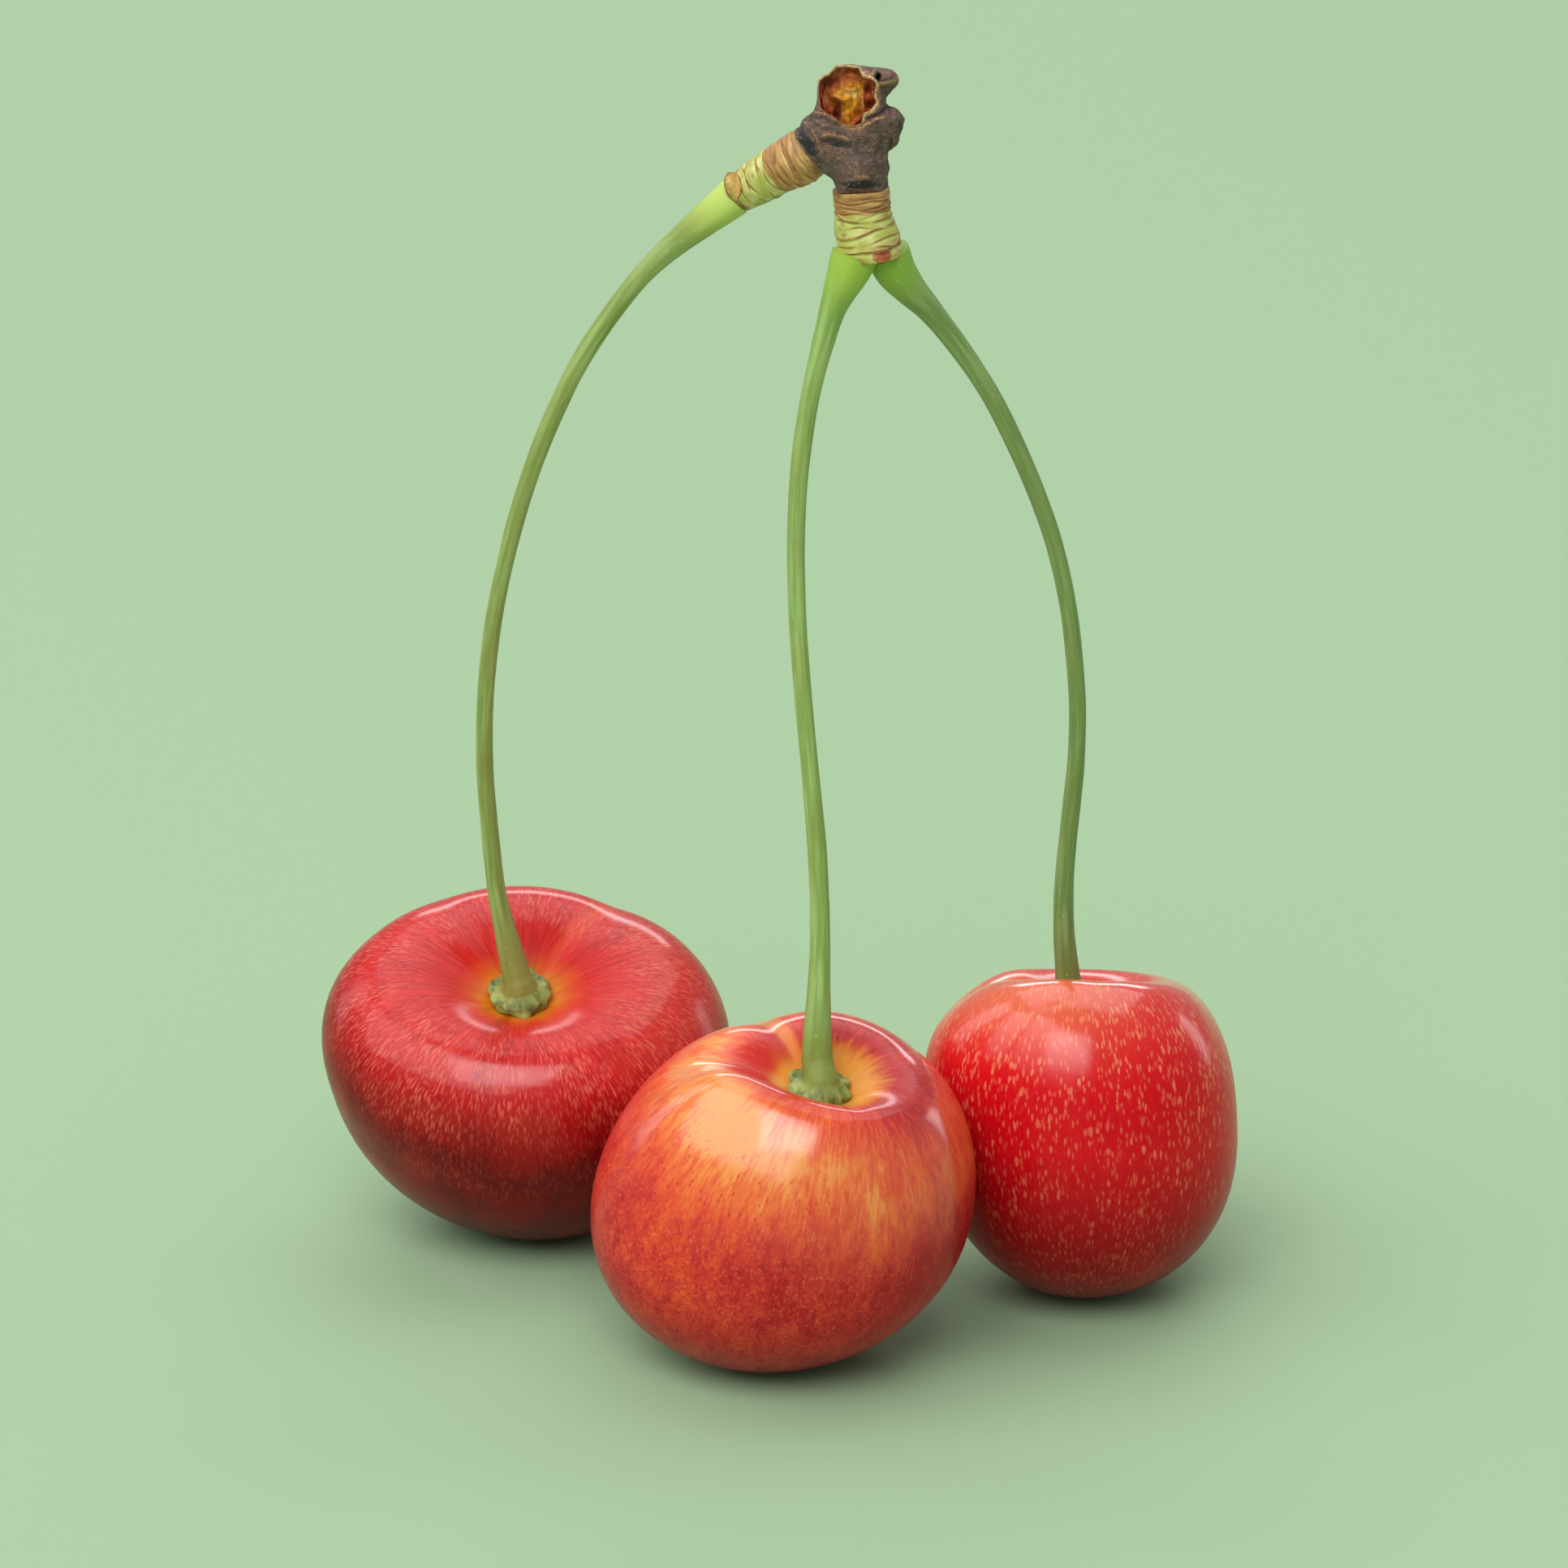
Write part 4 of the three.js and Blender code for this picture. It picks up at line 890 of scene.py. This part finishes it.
# Ridges and grooves of the bark: (line, half width, height).
FOLDS = (
    (((-1.60, -1.31), (-0.92, -1.28), (-0.15, -1.60)), 0.20, -0.13),
    (((-1.74, -0.97), (-1.45, -0.89), (-0.73, -1.06), (-0.15, -1.26)), 0.10, 0.11),
    (((-2.90, -0.15), (-2.37, -0.63), (-2.03, -1.35), (-1.77, -1.89)), 0.10, 0.12),
    (((-3.10, -0.48), (-2.71, -1.40), (-2.03, -2.27)), 0.29, -0.07),
    (((-2.66, 0.29), (-1.60, -0.00), (-0.73, -0.44)), 0.09, -0.09),
    (((-2.37, 0.48), (-1.35, 0.19), (-0.92, -0.19)), 0.08, 0.07),
    (((-2.80, 0.05), (-2.18, -0.24), (-1.79, -0.63)), 0.08, -0.08),
    (((0.92, -0.00), (1.60, 0.29), (2.08, 0.77)), 0.11, -0.12),
    (((0.73, -0.39), (1.21, -0.24), (1.89, 0.15)), 0.07, 0.10),
    (((2.13, 0.97), (2.32, 0.19), (2.42, -0.73), (2.20, -1.60)), 0.13, -0.13),
    (((1.64, 2.06), (2.18, 2.12), (2.68, 2.42)), 0.07, 0.14),
    (((-0.53, -2.18), (0.24, -2.01), (1.02, -2.08)), 0.16, -0.05),
    (((1.50, -0.34), (1.74, -1.21), (1.40, -1.93)), 0.15, -0.06),
    (((-0.63, -0.73), (0.24, -0.92), (0.97, -0.77)), 0.19, 0.05),
    (((0.24, -3.39), (0.87, -3.39)), 0.09, 0.06),
    (((1.40, -2.42), (1.60, -3.10)), 0.19, -0.05),
)
# Rounded swellings and pits: (right, up, half width, half height, height, turn in degrees).
SWELLINGS = (
    (-1.16, -1.84, 0.58, 0.36, 0.14, 0),
    (2.61, -0.29, 0.41, 1.02, 0.22, 0),
    (1.69, 2.56, 0.92, 0.39, 0.22, -8),
    (1.53, 2.46, 0.15, 0.23, -0.75, 0),
    (0.24, -2.66, 1.16, 0.58, 0.08, 0),
    (0.53, -3.77, 1.16, 0.24, -0.05, 0),
)
# The torn wood: strips and lumps that stand up in it, and holes.
SPLINTERS = (
    (((-0.64, 0.73), (-0.57, 0.19), (-0.51, -0.24)), 0.08, 0.50),
    (((-0.29, 0.39), (-0.22, -0.29)), 0.15, 0.32),
    (((0.44, 0.10), (0.05, -0.24)), 0.11, 0.30),
    (((-1.77, 1.26), (-1.69, 0.87), (-1.55, 0.53)), 0.12, 0.35),
    (((0.64, 1.35), (0.66, 0.97), (0.73, 0.53)), 0.06, 0.50),
    (((1.21, 1.74), (1.25, 1.26)), 0.07, 0.50),
    (((-1.11, 1.35), (-0.53, 1.16), (-0.15, 1.26)), 0.13, 0.35),
    (((-0.48, 1.84), (-0.24, 1.74), (0.24, 1.79)), 0.10, 0.30),
)
LUMPS_IN_TEAR = (
    (-0.02, 1.06, 0.51, 0.82, 0.50, 4),
    (-0.89, 1.60, 0.41, 0.30, 0.42, -20),
    (-0.10, 2.06, 0.25, 0.20, 0.35, 0),
    (0.34, 2.03, 0.29, 0.24, 0.20, 0),
    (-0.92, 0.34, 0.20, 0.48, -0.50, 0),
    (1.05, 0.97, 0.23, 0.21, -0.55, 0),
    (-1.45, 2.27, 0.44, 0.24, -0.35, 25),
    (0.97, 1.93, 0.20, 0.30, -0.40, 0),
    (-0.10, 2.61, 0.53, 0.24, 0.25, 0),
)
# Where each colour lies on the face.
YELLOW = (
    (-0.02, 0.97, 0.56, 0.80, 1.00, 4),
    (-0.92, 1.57, 0.44, 0.29, 0.80, -20),
    (-0.10, 2.03, 0.29, 0.24, 0.90, 0),
    (0.44, 1.79, 0.24, 0.44, 0.70, 0),
    (-0.53, -0.10, 0.15, 0.29, 0.70, 0),
    (-0.24, 0.48, 0.29, 0.73, 0.80, 0),
)
PALE = (
    (-0.05, 1.67, 0.36, 0.12, 1.00, 0),
    (0.63, 1.02, 0.06, 0.48, 0.80, 0),
    (-0.60, 0.29, 0.07, 0.48, 0.70, -6),
    (-1.55, 1.16, 0.15, 0.19, 0.40, 0),
    (0.10, 1.45, 0.19, 0.15, 0.60, 0),
)
WINE = (
    (-0.92, 0.34, 0.23, 0.53, 1.00, 0),
    (1.05, 0.97, 0.29, 0.27, 1.00, 0),
    (-1.45, 2.32, 0.48, 0.27, 0.90, 25),
    (0.97, 1.93, 0.24, 0.35, 0.90, 0),
    (-0.82, 0.92, 0.29, 0.19, 0.60, 0),
    (0.53, 0.48, 0.29, 0.24, 0.50, 0),
    (-0.63, 1.74, 0.15, 0.15, 0.40, 0),
)
# Dark patches: partly sooty bark, partly painted shade at the joint with the left shoot, in pits and grooves and along
# the right edge.
BLACK_AND_SHADE = (
    (-2.68, -1.35, 0.34, 1.04, 1.20, 32),
    (0.53, -3.77, 1.21, 0.25, 1.20, 0),
    (1.50, 2.47, 0.15, 0.24, 1.30, 0),
    (-0.92, -1.50, 0.77, 0.18, 0.90, -10),
    (2.90, -0.48, 0.22, 0.82, 0.80, 8),
    (1.55, -2.76, 0.29, 0.44, 0.50, 0),
    (-1.31, -3.00, 0.15, 0.19, 0.30, 0),
    (1.16, 0.19, 0.29, 0.15, 0.70, 25),
)
# Pale tan strokes along the ridges: partly pale bark, partly painted highlight on the ridge crests.
TAN_AND_HIGHLIGHT = (
    (((-1.74, -0.97), (-1.45, -0.89), (-0.73, -1.06), (-0.24, -1.21)), 0.08, 0.90),
    (((-0.58, -0.41), (0.05, -0.51), (0.58, -0.46), (1.02, -0.27)), 0.10, 1.20),
    (((1.21, -0.07), (1.55, 0.05), (1.89, 0.17)), 0.07, 1.00),
    (((1.64, 2.06), (2.18, 2.12), (2.68, 2.42)), 0.09, 1.10),
    (((0.24, -3.36), (0.87, -3.37)), 0.09, 0.80),
    (((1.50, 1.93), (1.62, 1.35), (1.55, 0.77), (1.26, 0.39), (0.73, 0.19)), 0.07, 1.00),
    (((-2.18, 0.53), (-1.60, 0.29), (-1.11, 0.15)), 0.07, 0.50),
    (((-2.37, -0.63), (-2.03, -1.35), (-1.77, -1.89)), 0.06, 0.60),
    (((0.63, 2.85), (1.02, 2.61), (1.26, 2.66)), 0.11, 0.60),
    (((-0.53, -2.13), (-0.92, -2.37)), 0.07, 0.40),
)
ROSE = (
    (-1.16, -1.84, 0.56, 0.41, 1.00, 0),
    (0.24, -0.77, 0.87, 0.34, 0.60, 0),
    (2.08, 2.56, 0.58, 0.39, 0.80, -10),
    (-0.24, -2.76, 0.58, 0.39, 0.50, 0),
    (1.79, -0.48, 0.24, 0.58, 0.40, 0),
    (0.73, -3.10, 0.58, 0.29, 0.40, 0),
)
SMOOTH = (
    (-0.05, -2.66, 1.31, 0.63, 1.00, 0),
    (-1.50, -2.76, 0.39, 0.44, 1.00, 0),
    (1.69, -1.93, 0.44, 0.58, 0.50, 0),
)


def polygon_distance(u, v, poly):
    best, inside = np.full(u.shape, 1e9), np.zeros(u.shape, bool)
    for (ax, ay), (bx, by) in zip(poly, poly[1:] + poly[:1]):
        ex, ey = bx - ax, by - ay
        t = np.clip(((u - ax) * ex + (v - ay) * ey) / (ex * ex + ey * ey), 0, 1)
        best = np.minimum(best, np.hypot(u - ax - t * ex, v - ay - t * ey))
        cross = (ay > v) != (by > v)
        with np.errstate(divide="ignore", invalid="ignore"):
            inside ^= cross & (u < ex * (v - ay) / (ey if ey else 1e-9) + ax)
    return np.where(inside, -best, best)


def strokes(u, v, items):
    out = np.zeros(u.shape)
    for line, w, a in items:
        best = np.full(u.shape, 1e9)
        for (ax, ay), (bx, by) in zip(line, line[1:]):
            ex, ey = bx - ax, by - ay
            t = np.clip(((u - ax) * ex + (v - ay) * ey) / (ex * ex + ey * ey), 0, 1)
            best = np.minimum(best, (u - ax - t * ex) ** 2 + (v - ay - t * ey) ** 2)
        out += a * np.exp(-best / w ** 2)
    return out


def spots(u, v, items):
    out = np.zeros(u.shape)
    for cx, cy, rx, ry, a, rot in items:
        c, s = math.cos(math.radians(rot)), math.sin(math.radians(rot))
        x, y = (u - cx) * c + (v - cy) * s, (v - cy) * c - (u - cx) * s
        out += a * np.exp(-((x / rx) ** 2 + (y / ry) ** 2))
    return out


class Sheet:
    """A function of the spur's face, worked out once on a fine grid and looked up after that."""

    def __init__(self, fn, step=0.02):
        self.step = step
        self.u0, self.v0 = -5.2, -6.2
        u, v = np.meshgrid(np.arange(self.u0, 4.6, step), np.arange(self.v0, 4.6, step), indexing="ij")
        self.f = fn(u, v)

    def __call__(self, u, v):
        x = np.clip((u - self.u0) / self.step, 0, self.f.shape[0] - 1.001)
        y = np.clip((v - self.v0) / self.step, 0, self.f.shape[1] - 1.001)
        i, j = x.astype(int), y.astype(int)
        a, b = x - i, y - j
        f = self.f
        return (f[i, j] * (1 - a) + f[i + 1, j] * a) * (1 - b) + (f[i, j + 1] * (1 - a) + f[i + 1, j + 1] * a) * b


def flat_noise(u, v, scale, octaves=3, seed=0.0):
    return fbm(np.stack([u, v, np.full_like(u, seed)], -1), scale, octaves)


outline = Sheet(lambda u, v: polygon_distance(u, v, OUTLINE))
tear_edge = Sheet(lambda u, v: polygon_distance(u, v, TEAR) + 0.045 * flat_noise(u, v, 3.0, 3, 2.0))
face_relief = Sheet(lambda u, v: strokes(u + 0.05 * flat_noise(u, v, 1.6), v, FOLDS) + spots(u, v, SWELLINGS))
tear_floor = Sheet(lambda u, v: 0.42 + strokes(u, v, SPLINTERS) + spots(u, v, LUMPS_IN_TEAR) + 0.20 * flat_noise(u, v * 0.6, 3.2, 4, 5.0))
lip_height = Sheet(lambda u, v: 1.42 + 0.16 * flat_noise(u, v, 1.1, 2, 9.0) + 0.10 * flat_noise(u, v, 4.5, 2, 4.0))
LEFT_END = np.array([-0.8, 0.15, -0.57]) / np.linalg.norm([-0.8, 0.15, -0.57])


def smin(a, b, k):
    h = np.clip(0.5 + 0.5 * (b - a) / k, 0, 1)
    return b * (1 - h) + a * h - k * h * (1 - h)


def face_of(p):
    d = p - SPUR_AT
    return d[..., 0], d @ SPUR_UP, d[..., 1] / SPUR_OUT[1]


def spur_sdf(p):
    u, v, w = face_of(p)
    wob = vnoise(p, 0.8)
    R = 1.95
    s = np.maximum(outline(u + 0.05 * vnoise(p + 9.0, 1.1), v + 0.05 * wob) + R, 0)
    d = np.sqrt(s * s + w * w) - R
    front = smooth(w / 0.6)
    grain = fbm(p * np.array([1.0, 1.0, 1.6]), 1.6, 3)
    d = d - face_relief(u, v) * front
    # the back has its own folds, one above the other
    fold = np.sin(4.2 * p[..., 2] + 1.1 * p[..., 0] + 1.6 * wob) * bell(p[..., 2] - 74.8, 2.6)
    d = d - 0.09 * fold * (1 - front)
    soft = 1 - 0.6 * front * np.exp(-(((u + 0.1) / 1.2) ** 2 + ((v + 2.7) / 0.6) ** 2))
    d = d - (0.055 * grain + 0.02 * vnoise(p, 5.5)) * soft
    # torn face: a jagged wall of bark round a hollow with splinters standing in it
    t = tear_edge(u, v)
    top = lip_height(u, v)
    wall = np.maximum(np.abs(t - 0.06) - 0.06, np.abs(w - top / 2) - top / 2)
    d = smin(d, wall, 0.05)
    d = np.maximum(d, -np.maximum(t, tear_floor(u, v) - w))
    # flat ends against the shoots
    d = np.maximum(d, (p - np.array((1.84, 10.2, 74.26))) @ LEFT_END)
    return np.maximum(d, 71.92 - p[..., 2])


def surface_nets(fn, lo, hi, h):
    lo, hi = np.array(lo, float), np.array(hi, float)
    ax = [np.arange(a, b + h, h) for a, b in zip(lo, hi)]
    G = np.stack(np.meshgrid(*ax, indexing="ij"), -1)
    f = np.concatenate([fn(G[i:i + 24]) for i in range(0, len(G), 24)])
    ins = f < 0
    c = sum(ins[i:ins.shape[0] - 1 + i, j:ins.shape[1] - 1 + j, k:ins.shape[2] - 1 + k].astype(np.int8)
            for i in (0, 1) for j in (0, 1) for k in (0, 1))
    mixed = (c > 0) & (c < 8)
    idx = -np.ones(mixed.shape, int)
    idx[mixed] = np.arange(int(mixed.sum()))
    cells = np.argwhere(mixed)
    acc, cnt = np.zeros((len(cells), 3)), np.zeros(len(cells))
    corners = [np.array((i, j, k)) for i in (0, 1) for j in (0, 1) for k in (0, 1)]
    for a in corners:
        for b in corners:
            if (b - a).sum() != 1 or (b < a).any():
                continue
            fa, fb = f[tuple((cells + a).T)], f[tuple((cells + b).T)]
            x = (fa < 0) != (fb < 0)
            t = np.where(x, fa / np.where(x, fa - fb, 1), 0)
            acc[x] += (a + t[:, None] * (b - a))[x]
            cnt[x] += 1
    verts = lo + h * (cells + acc / cnt[:, None])
    quads = []
    for axis in range(3):
        o = [k for k in range(3) if k != axis]
        sl0, sl1 = [slice(1, -1)] * 3, [slice(1, -1)] * 3
        sl0[axis], sl1[axis] = slice(0, -1), slice(1, None)
        a, b = ins[tuple(sl0)], ins[tuple(sl1)]
        for want, flip in ((a & ~b, False), (~a & b, True)):
            e = np.argwhere(want)
            e[:, o[0]] += 1
            e[:, o[1]] += 1
            def at(d0, d1):
                v = e.copy()
                v[:, o[0]] += d0
                v[:, o[1]] += d1
                return idx[tuple(v.T)]
            q = np.stack([at(-1, -1), at(0, -1), at(0, 0), at(-1, 0)], 1)
            if flip != (axis == 1):
                q = q[:, ::-1]
            quads.append(q)
    return verts, np.vstack(quads)


def keep_largest(verts, faces):
    """Drops specks that the noise cut loose from the main body."""
    parent = np.arange(len(verts))
    for _ in range(60):
        low = parent[faces].min(1)
        new = parent.copy()
        for k in range(4):
            np.minimum.at(new, faces[:, k], low)
        new = new[new]
        if (new == parent).all():
            break
        parent = new
    main = np.bincount(parent).argmax()
    good = parent == main
    remap = np.cumsum(good) - 1
    return verts[good], remap[faces[good[faces].all(1)]]


def build_spur():
    h = 0.05
    verts, faces = surface_nets(spur_sdf, (-0.2, 7.5, 71.5), (8.1, 12.3, 80.2), h)
    verts, faces = keep_largest(verts, faces)
    u, v, w = face_of(verts)
    front = smooth((w + 0.1) / 0.5)
    x, y = u + 0.10 * flat_noise(u, v, 2.2, 3, 1.0), v + 0.10 * flat_noise(u, v, 2.2, 3, 6.0)
    t = tear_edge(u, v)
    torn = smooth((0.03 - t) / 0.05) * (w > -0.9)
    rim = smooth((0.14 - np.abs(t - 0.05)) / 0.08) * smooth((w - 0.75) / 0.3)
    bright = smooth((u * 0.6 + v + 0.4) / 2.2)
    ends = np.minimum(np.abs((verts - np.array((1.84, 10.2, 74.26))) @ LEFT_END), np.abs(verts[:, 2] - 72.0))
    # near-black patches on the face, and near the ends where the shoots join: partly sooty bark, partly painted shade
    black_and_shade = np.where(w > 0, spots(x, y, BLACK_AND_SHADE), smooth((0.75 - ends + 0.2 * flat_noise(u, w, 1.4)) / 0.4))
    return make_mesh("woody_spur", verts + SHIFT, faces, {
        "at": verts, "torn": torn, "rim": rim, "bright": bright, "black_and_shade": np.clip(black_and_shade, 0, 1),
        "yellow": np.clip(spots(x, y, YELLOW), 0, 1), "pale": np.clip(spots(u, v, PALE), 0, 1),
        # the tan mask lies on the ridges: partly pale bark, partly painted highlight
        "wine": np.clip(spots(u, v, WINE), 0, 1), "tan": np.clip(strokes(x, y, TAN_AND_HIGHLIGHT), 0, 1) * front,
        "rose": np.clip(spots(x, y, ROSE), 0, 1) * front + 0.25 * (1 - front), "smooth": np.clip(spots(x, y, SMOOTH), 0, 1) * front,
        # painted shade: a mask of the bark's grooves and pits, to darken them
        "hollow": np.clip(-face_relief(u, v) * 8, 0, 1) * front, "depth": smooth((1.5 - w) / 1.2)})


def spur_bark():
    m = Mat("spur_bark")
    g = {k: m.attr(k) for k in ("torn", "rim", "bright", "black_and_shade", "yellow", "pale", "wine", "tan", "rose", "smooth", "hollow", "depth")}
    fibre = m.noise(m.vec("at", (1.2, 1.2, 1.9)), 1.0, 5.0, 0.68, 1.6)
    fine = m.noise(m.vec("at", (6.5, 6.5, 6.5)), 1.0, 4.0, 0.7)
    patch = m.noise(m.vec("at", (0.9, 0.9, 1.3)), 1.0, 3.0)
    bark = m.ramp(fibre, [(0.28, lin(50, 36, 32)), (0.44, lin(84, 64, 56)), (0.6, lin(118, 94, 84)), (0.78, lin(176, 152, 132))])
    bark = m.mix(m.math("MULTIPLY", m.span(patch, 0.5, 0.68), 0.4), bark, lin(104, 70, 58))
    bark = m.mix(m.math("MULTIPLY", g["smooth"], 0.7), bark, m.mix(m.span(patch, 0.35, 0.65), lin(92, 70, 66), lin(138, 114, 108)))
    bark = m.mix(m.math("MULTIPLY", g["rose"], 0.6), bark, m.mix(m.span(fine, 0.3, 0.7), lin(118, 74, 64), lin(156, 110, 98)))
    # painted shade: the grooves and pits of the bark are darkened
    bark = m.mix(m.math("MULTIPLY", g["hollow"], 0.85), bark, lin(40, 28, 26))
    # tan on the ridge crests: partly pale bark, partly painted highlight
    bark = m.mix(m.math("MULTIPLY", g["tan"], m.span(fine, 0.3, 0.6, 0.6, 1.0)), bark, m.mix(m.span(fine, 0.35, 0.7), lin(160, 104, 66), lin(204, 160, 112)))
    seam = m.noise(m.vec("at", (1.0, 1.0, 2.4)), 1.0, 3.0, 0.55, 1.2)
    bark = m.mix(m.math("MULTIPLY", m.span(m.math("ABSOLUTE", m.math("SUBTRACT", seam, 0.5)), 0.022, 0.0), 0.55), bark, lin(38, 28, 26))
    bark = m.mix(m.math("MULTIPLY", m.span(m.math("ABSOLUTE", m.math("SUBTRACT", seam, 0.56)), 0.018, 0.0), 0.4), bark, lin(188, 160, 136))
    # near-black sooty bark with pale grit, partly painted shade in the joints, pits and grooves
    grit = m.flecks(m.vec("at", (6.0, 6.0, 6.0)), 1.0, 0.5, 0.10, 0.4, 0.4)
    soot_and_shade = m.mix(m.math("MULTIPLY", grit, 0.65), m.mix(m.span(fine, 0.4, 0.7), lin(24, 24, 25), lin(52, 52, 52)), lin(176, 176, 170))
    bark = m.mix(m.span(g["black_and_shade"], 0.35, 0.75), bark, soot_and_shade)
    specks = m.flecks(m.vec("at", (3.2, 3.2, 3.2)), 1.0, 0.12, 0.04, 0.16, 0.3)
    bark = m.mix(m.math("MULTIPLY", specks, 0.7), bark, lin(206, 196, 184))
    # the torn wood: red brown, with amber gum in the middle and dark wine hollows
    gum = m.noise(m.vec("at", (1.6, 1.6, 1.3)), 1.0, 4.0, 0.62, 0.8)
    wood = m.ramp(gum, [(0.30, lin(140, 52, 30)), (0.46, lin(188, 82, 40)), (0.6, lin(208, 112, 52)), (0.75, lin(226, 152, 86))])
    honey = m.mix(m.span(gum, 0.36, 0.66), lin(216, 132, 20), lin(244, 188, 50))
    wood = m.mix(g["yellow"], wood, honey)
    wood = m.mix(m.math("MULTIPLY", g["pale"], 0.9), wood, lin(236, 204, 130))
    wood = m.mix(m.math("MULTIPLY", g["wine"], 0.8), wood, m.mix(m.span(fine, 0.3, 0.7), lin(56, 20, 20), lin(108, 40, 36)))
    wood = m.mix(m.math("MULTIPLY", g["depth"], 0.2), wood, lin(104, 36, 22))
    base = m.mix(g["torn"], bark, wood)
    cream = m.mix(m.span(fine, 0.35, 0.7), lin(186, 134, 84), lin(240, 216, 172))
    cream = m.mix(g["bright"], m.mix(m.span(fine, 0.35, 0.65), lin(92, 56, 38), lin(168, 120, 82)), cream)
    base = m.mix(m.math("MULTIPLY", g["rim"], 0.9), base, cream)
    m.put(m.bsdf, "Base Color", base)
    m.put(m.bsdf, "Roughness", m.span(g["torn"], 0.0, 1.0, 0.78, 0.34))
    h = m.math("ADD", m.math("MULTIPLY", fibre, 0.8), m.math("MULTIPLY", fine, 0.5))
    m.put(m.bsdf, "Normal", m.bump(h, 0.6, 0.12))
    return m.m


ob = build_spur()
ob.data.materials.append(spur_bark())
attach(ob, "root")
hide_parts("spur")

# ------------------------------------------------------------------ floor
fm = Mat("pale_floor")
fm.put(fm.bsdf, "Base Color", (0.340, 0.490, 0.305, 1.0))
fm.bsdf.inputs["Roughness"].default_value = 0.9
fm.bsdf.inputs["Specular IOR Level"].default_value = 0.1
me = bpy.data.meshes.new("floor")
me.from_pydata([(-4, -4, 0), (4, -4, 0), (4, 4, 0), (-4, 4, 0)], [], [(0, 1, 2, 3)])
floor = bpy.data.objects.new("floor", me)
scene.collection.objects.link(floor)
me.materials.append(fm.m)
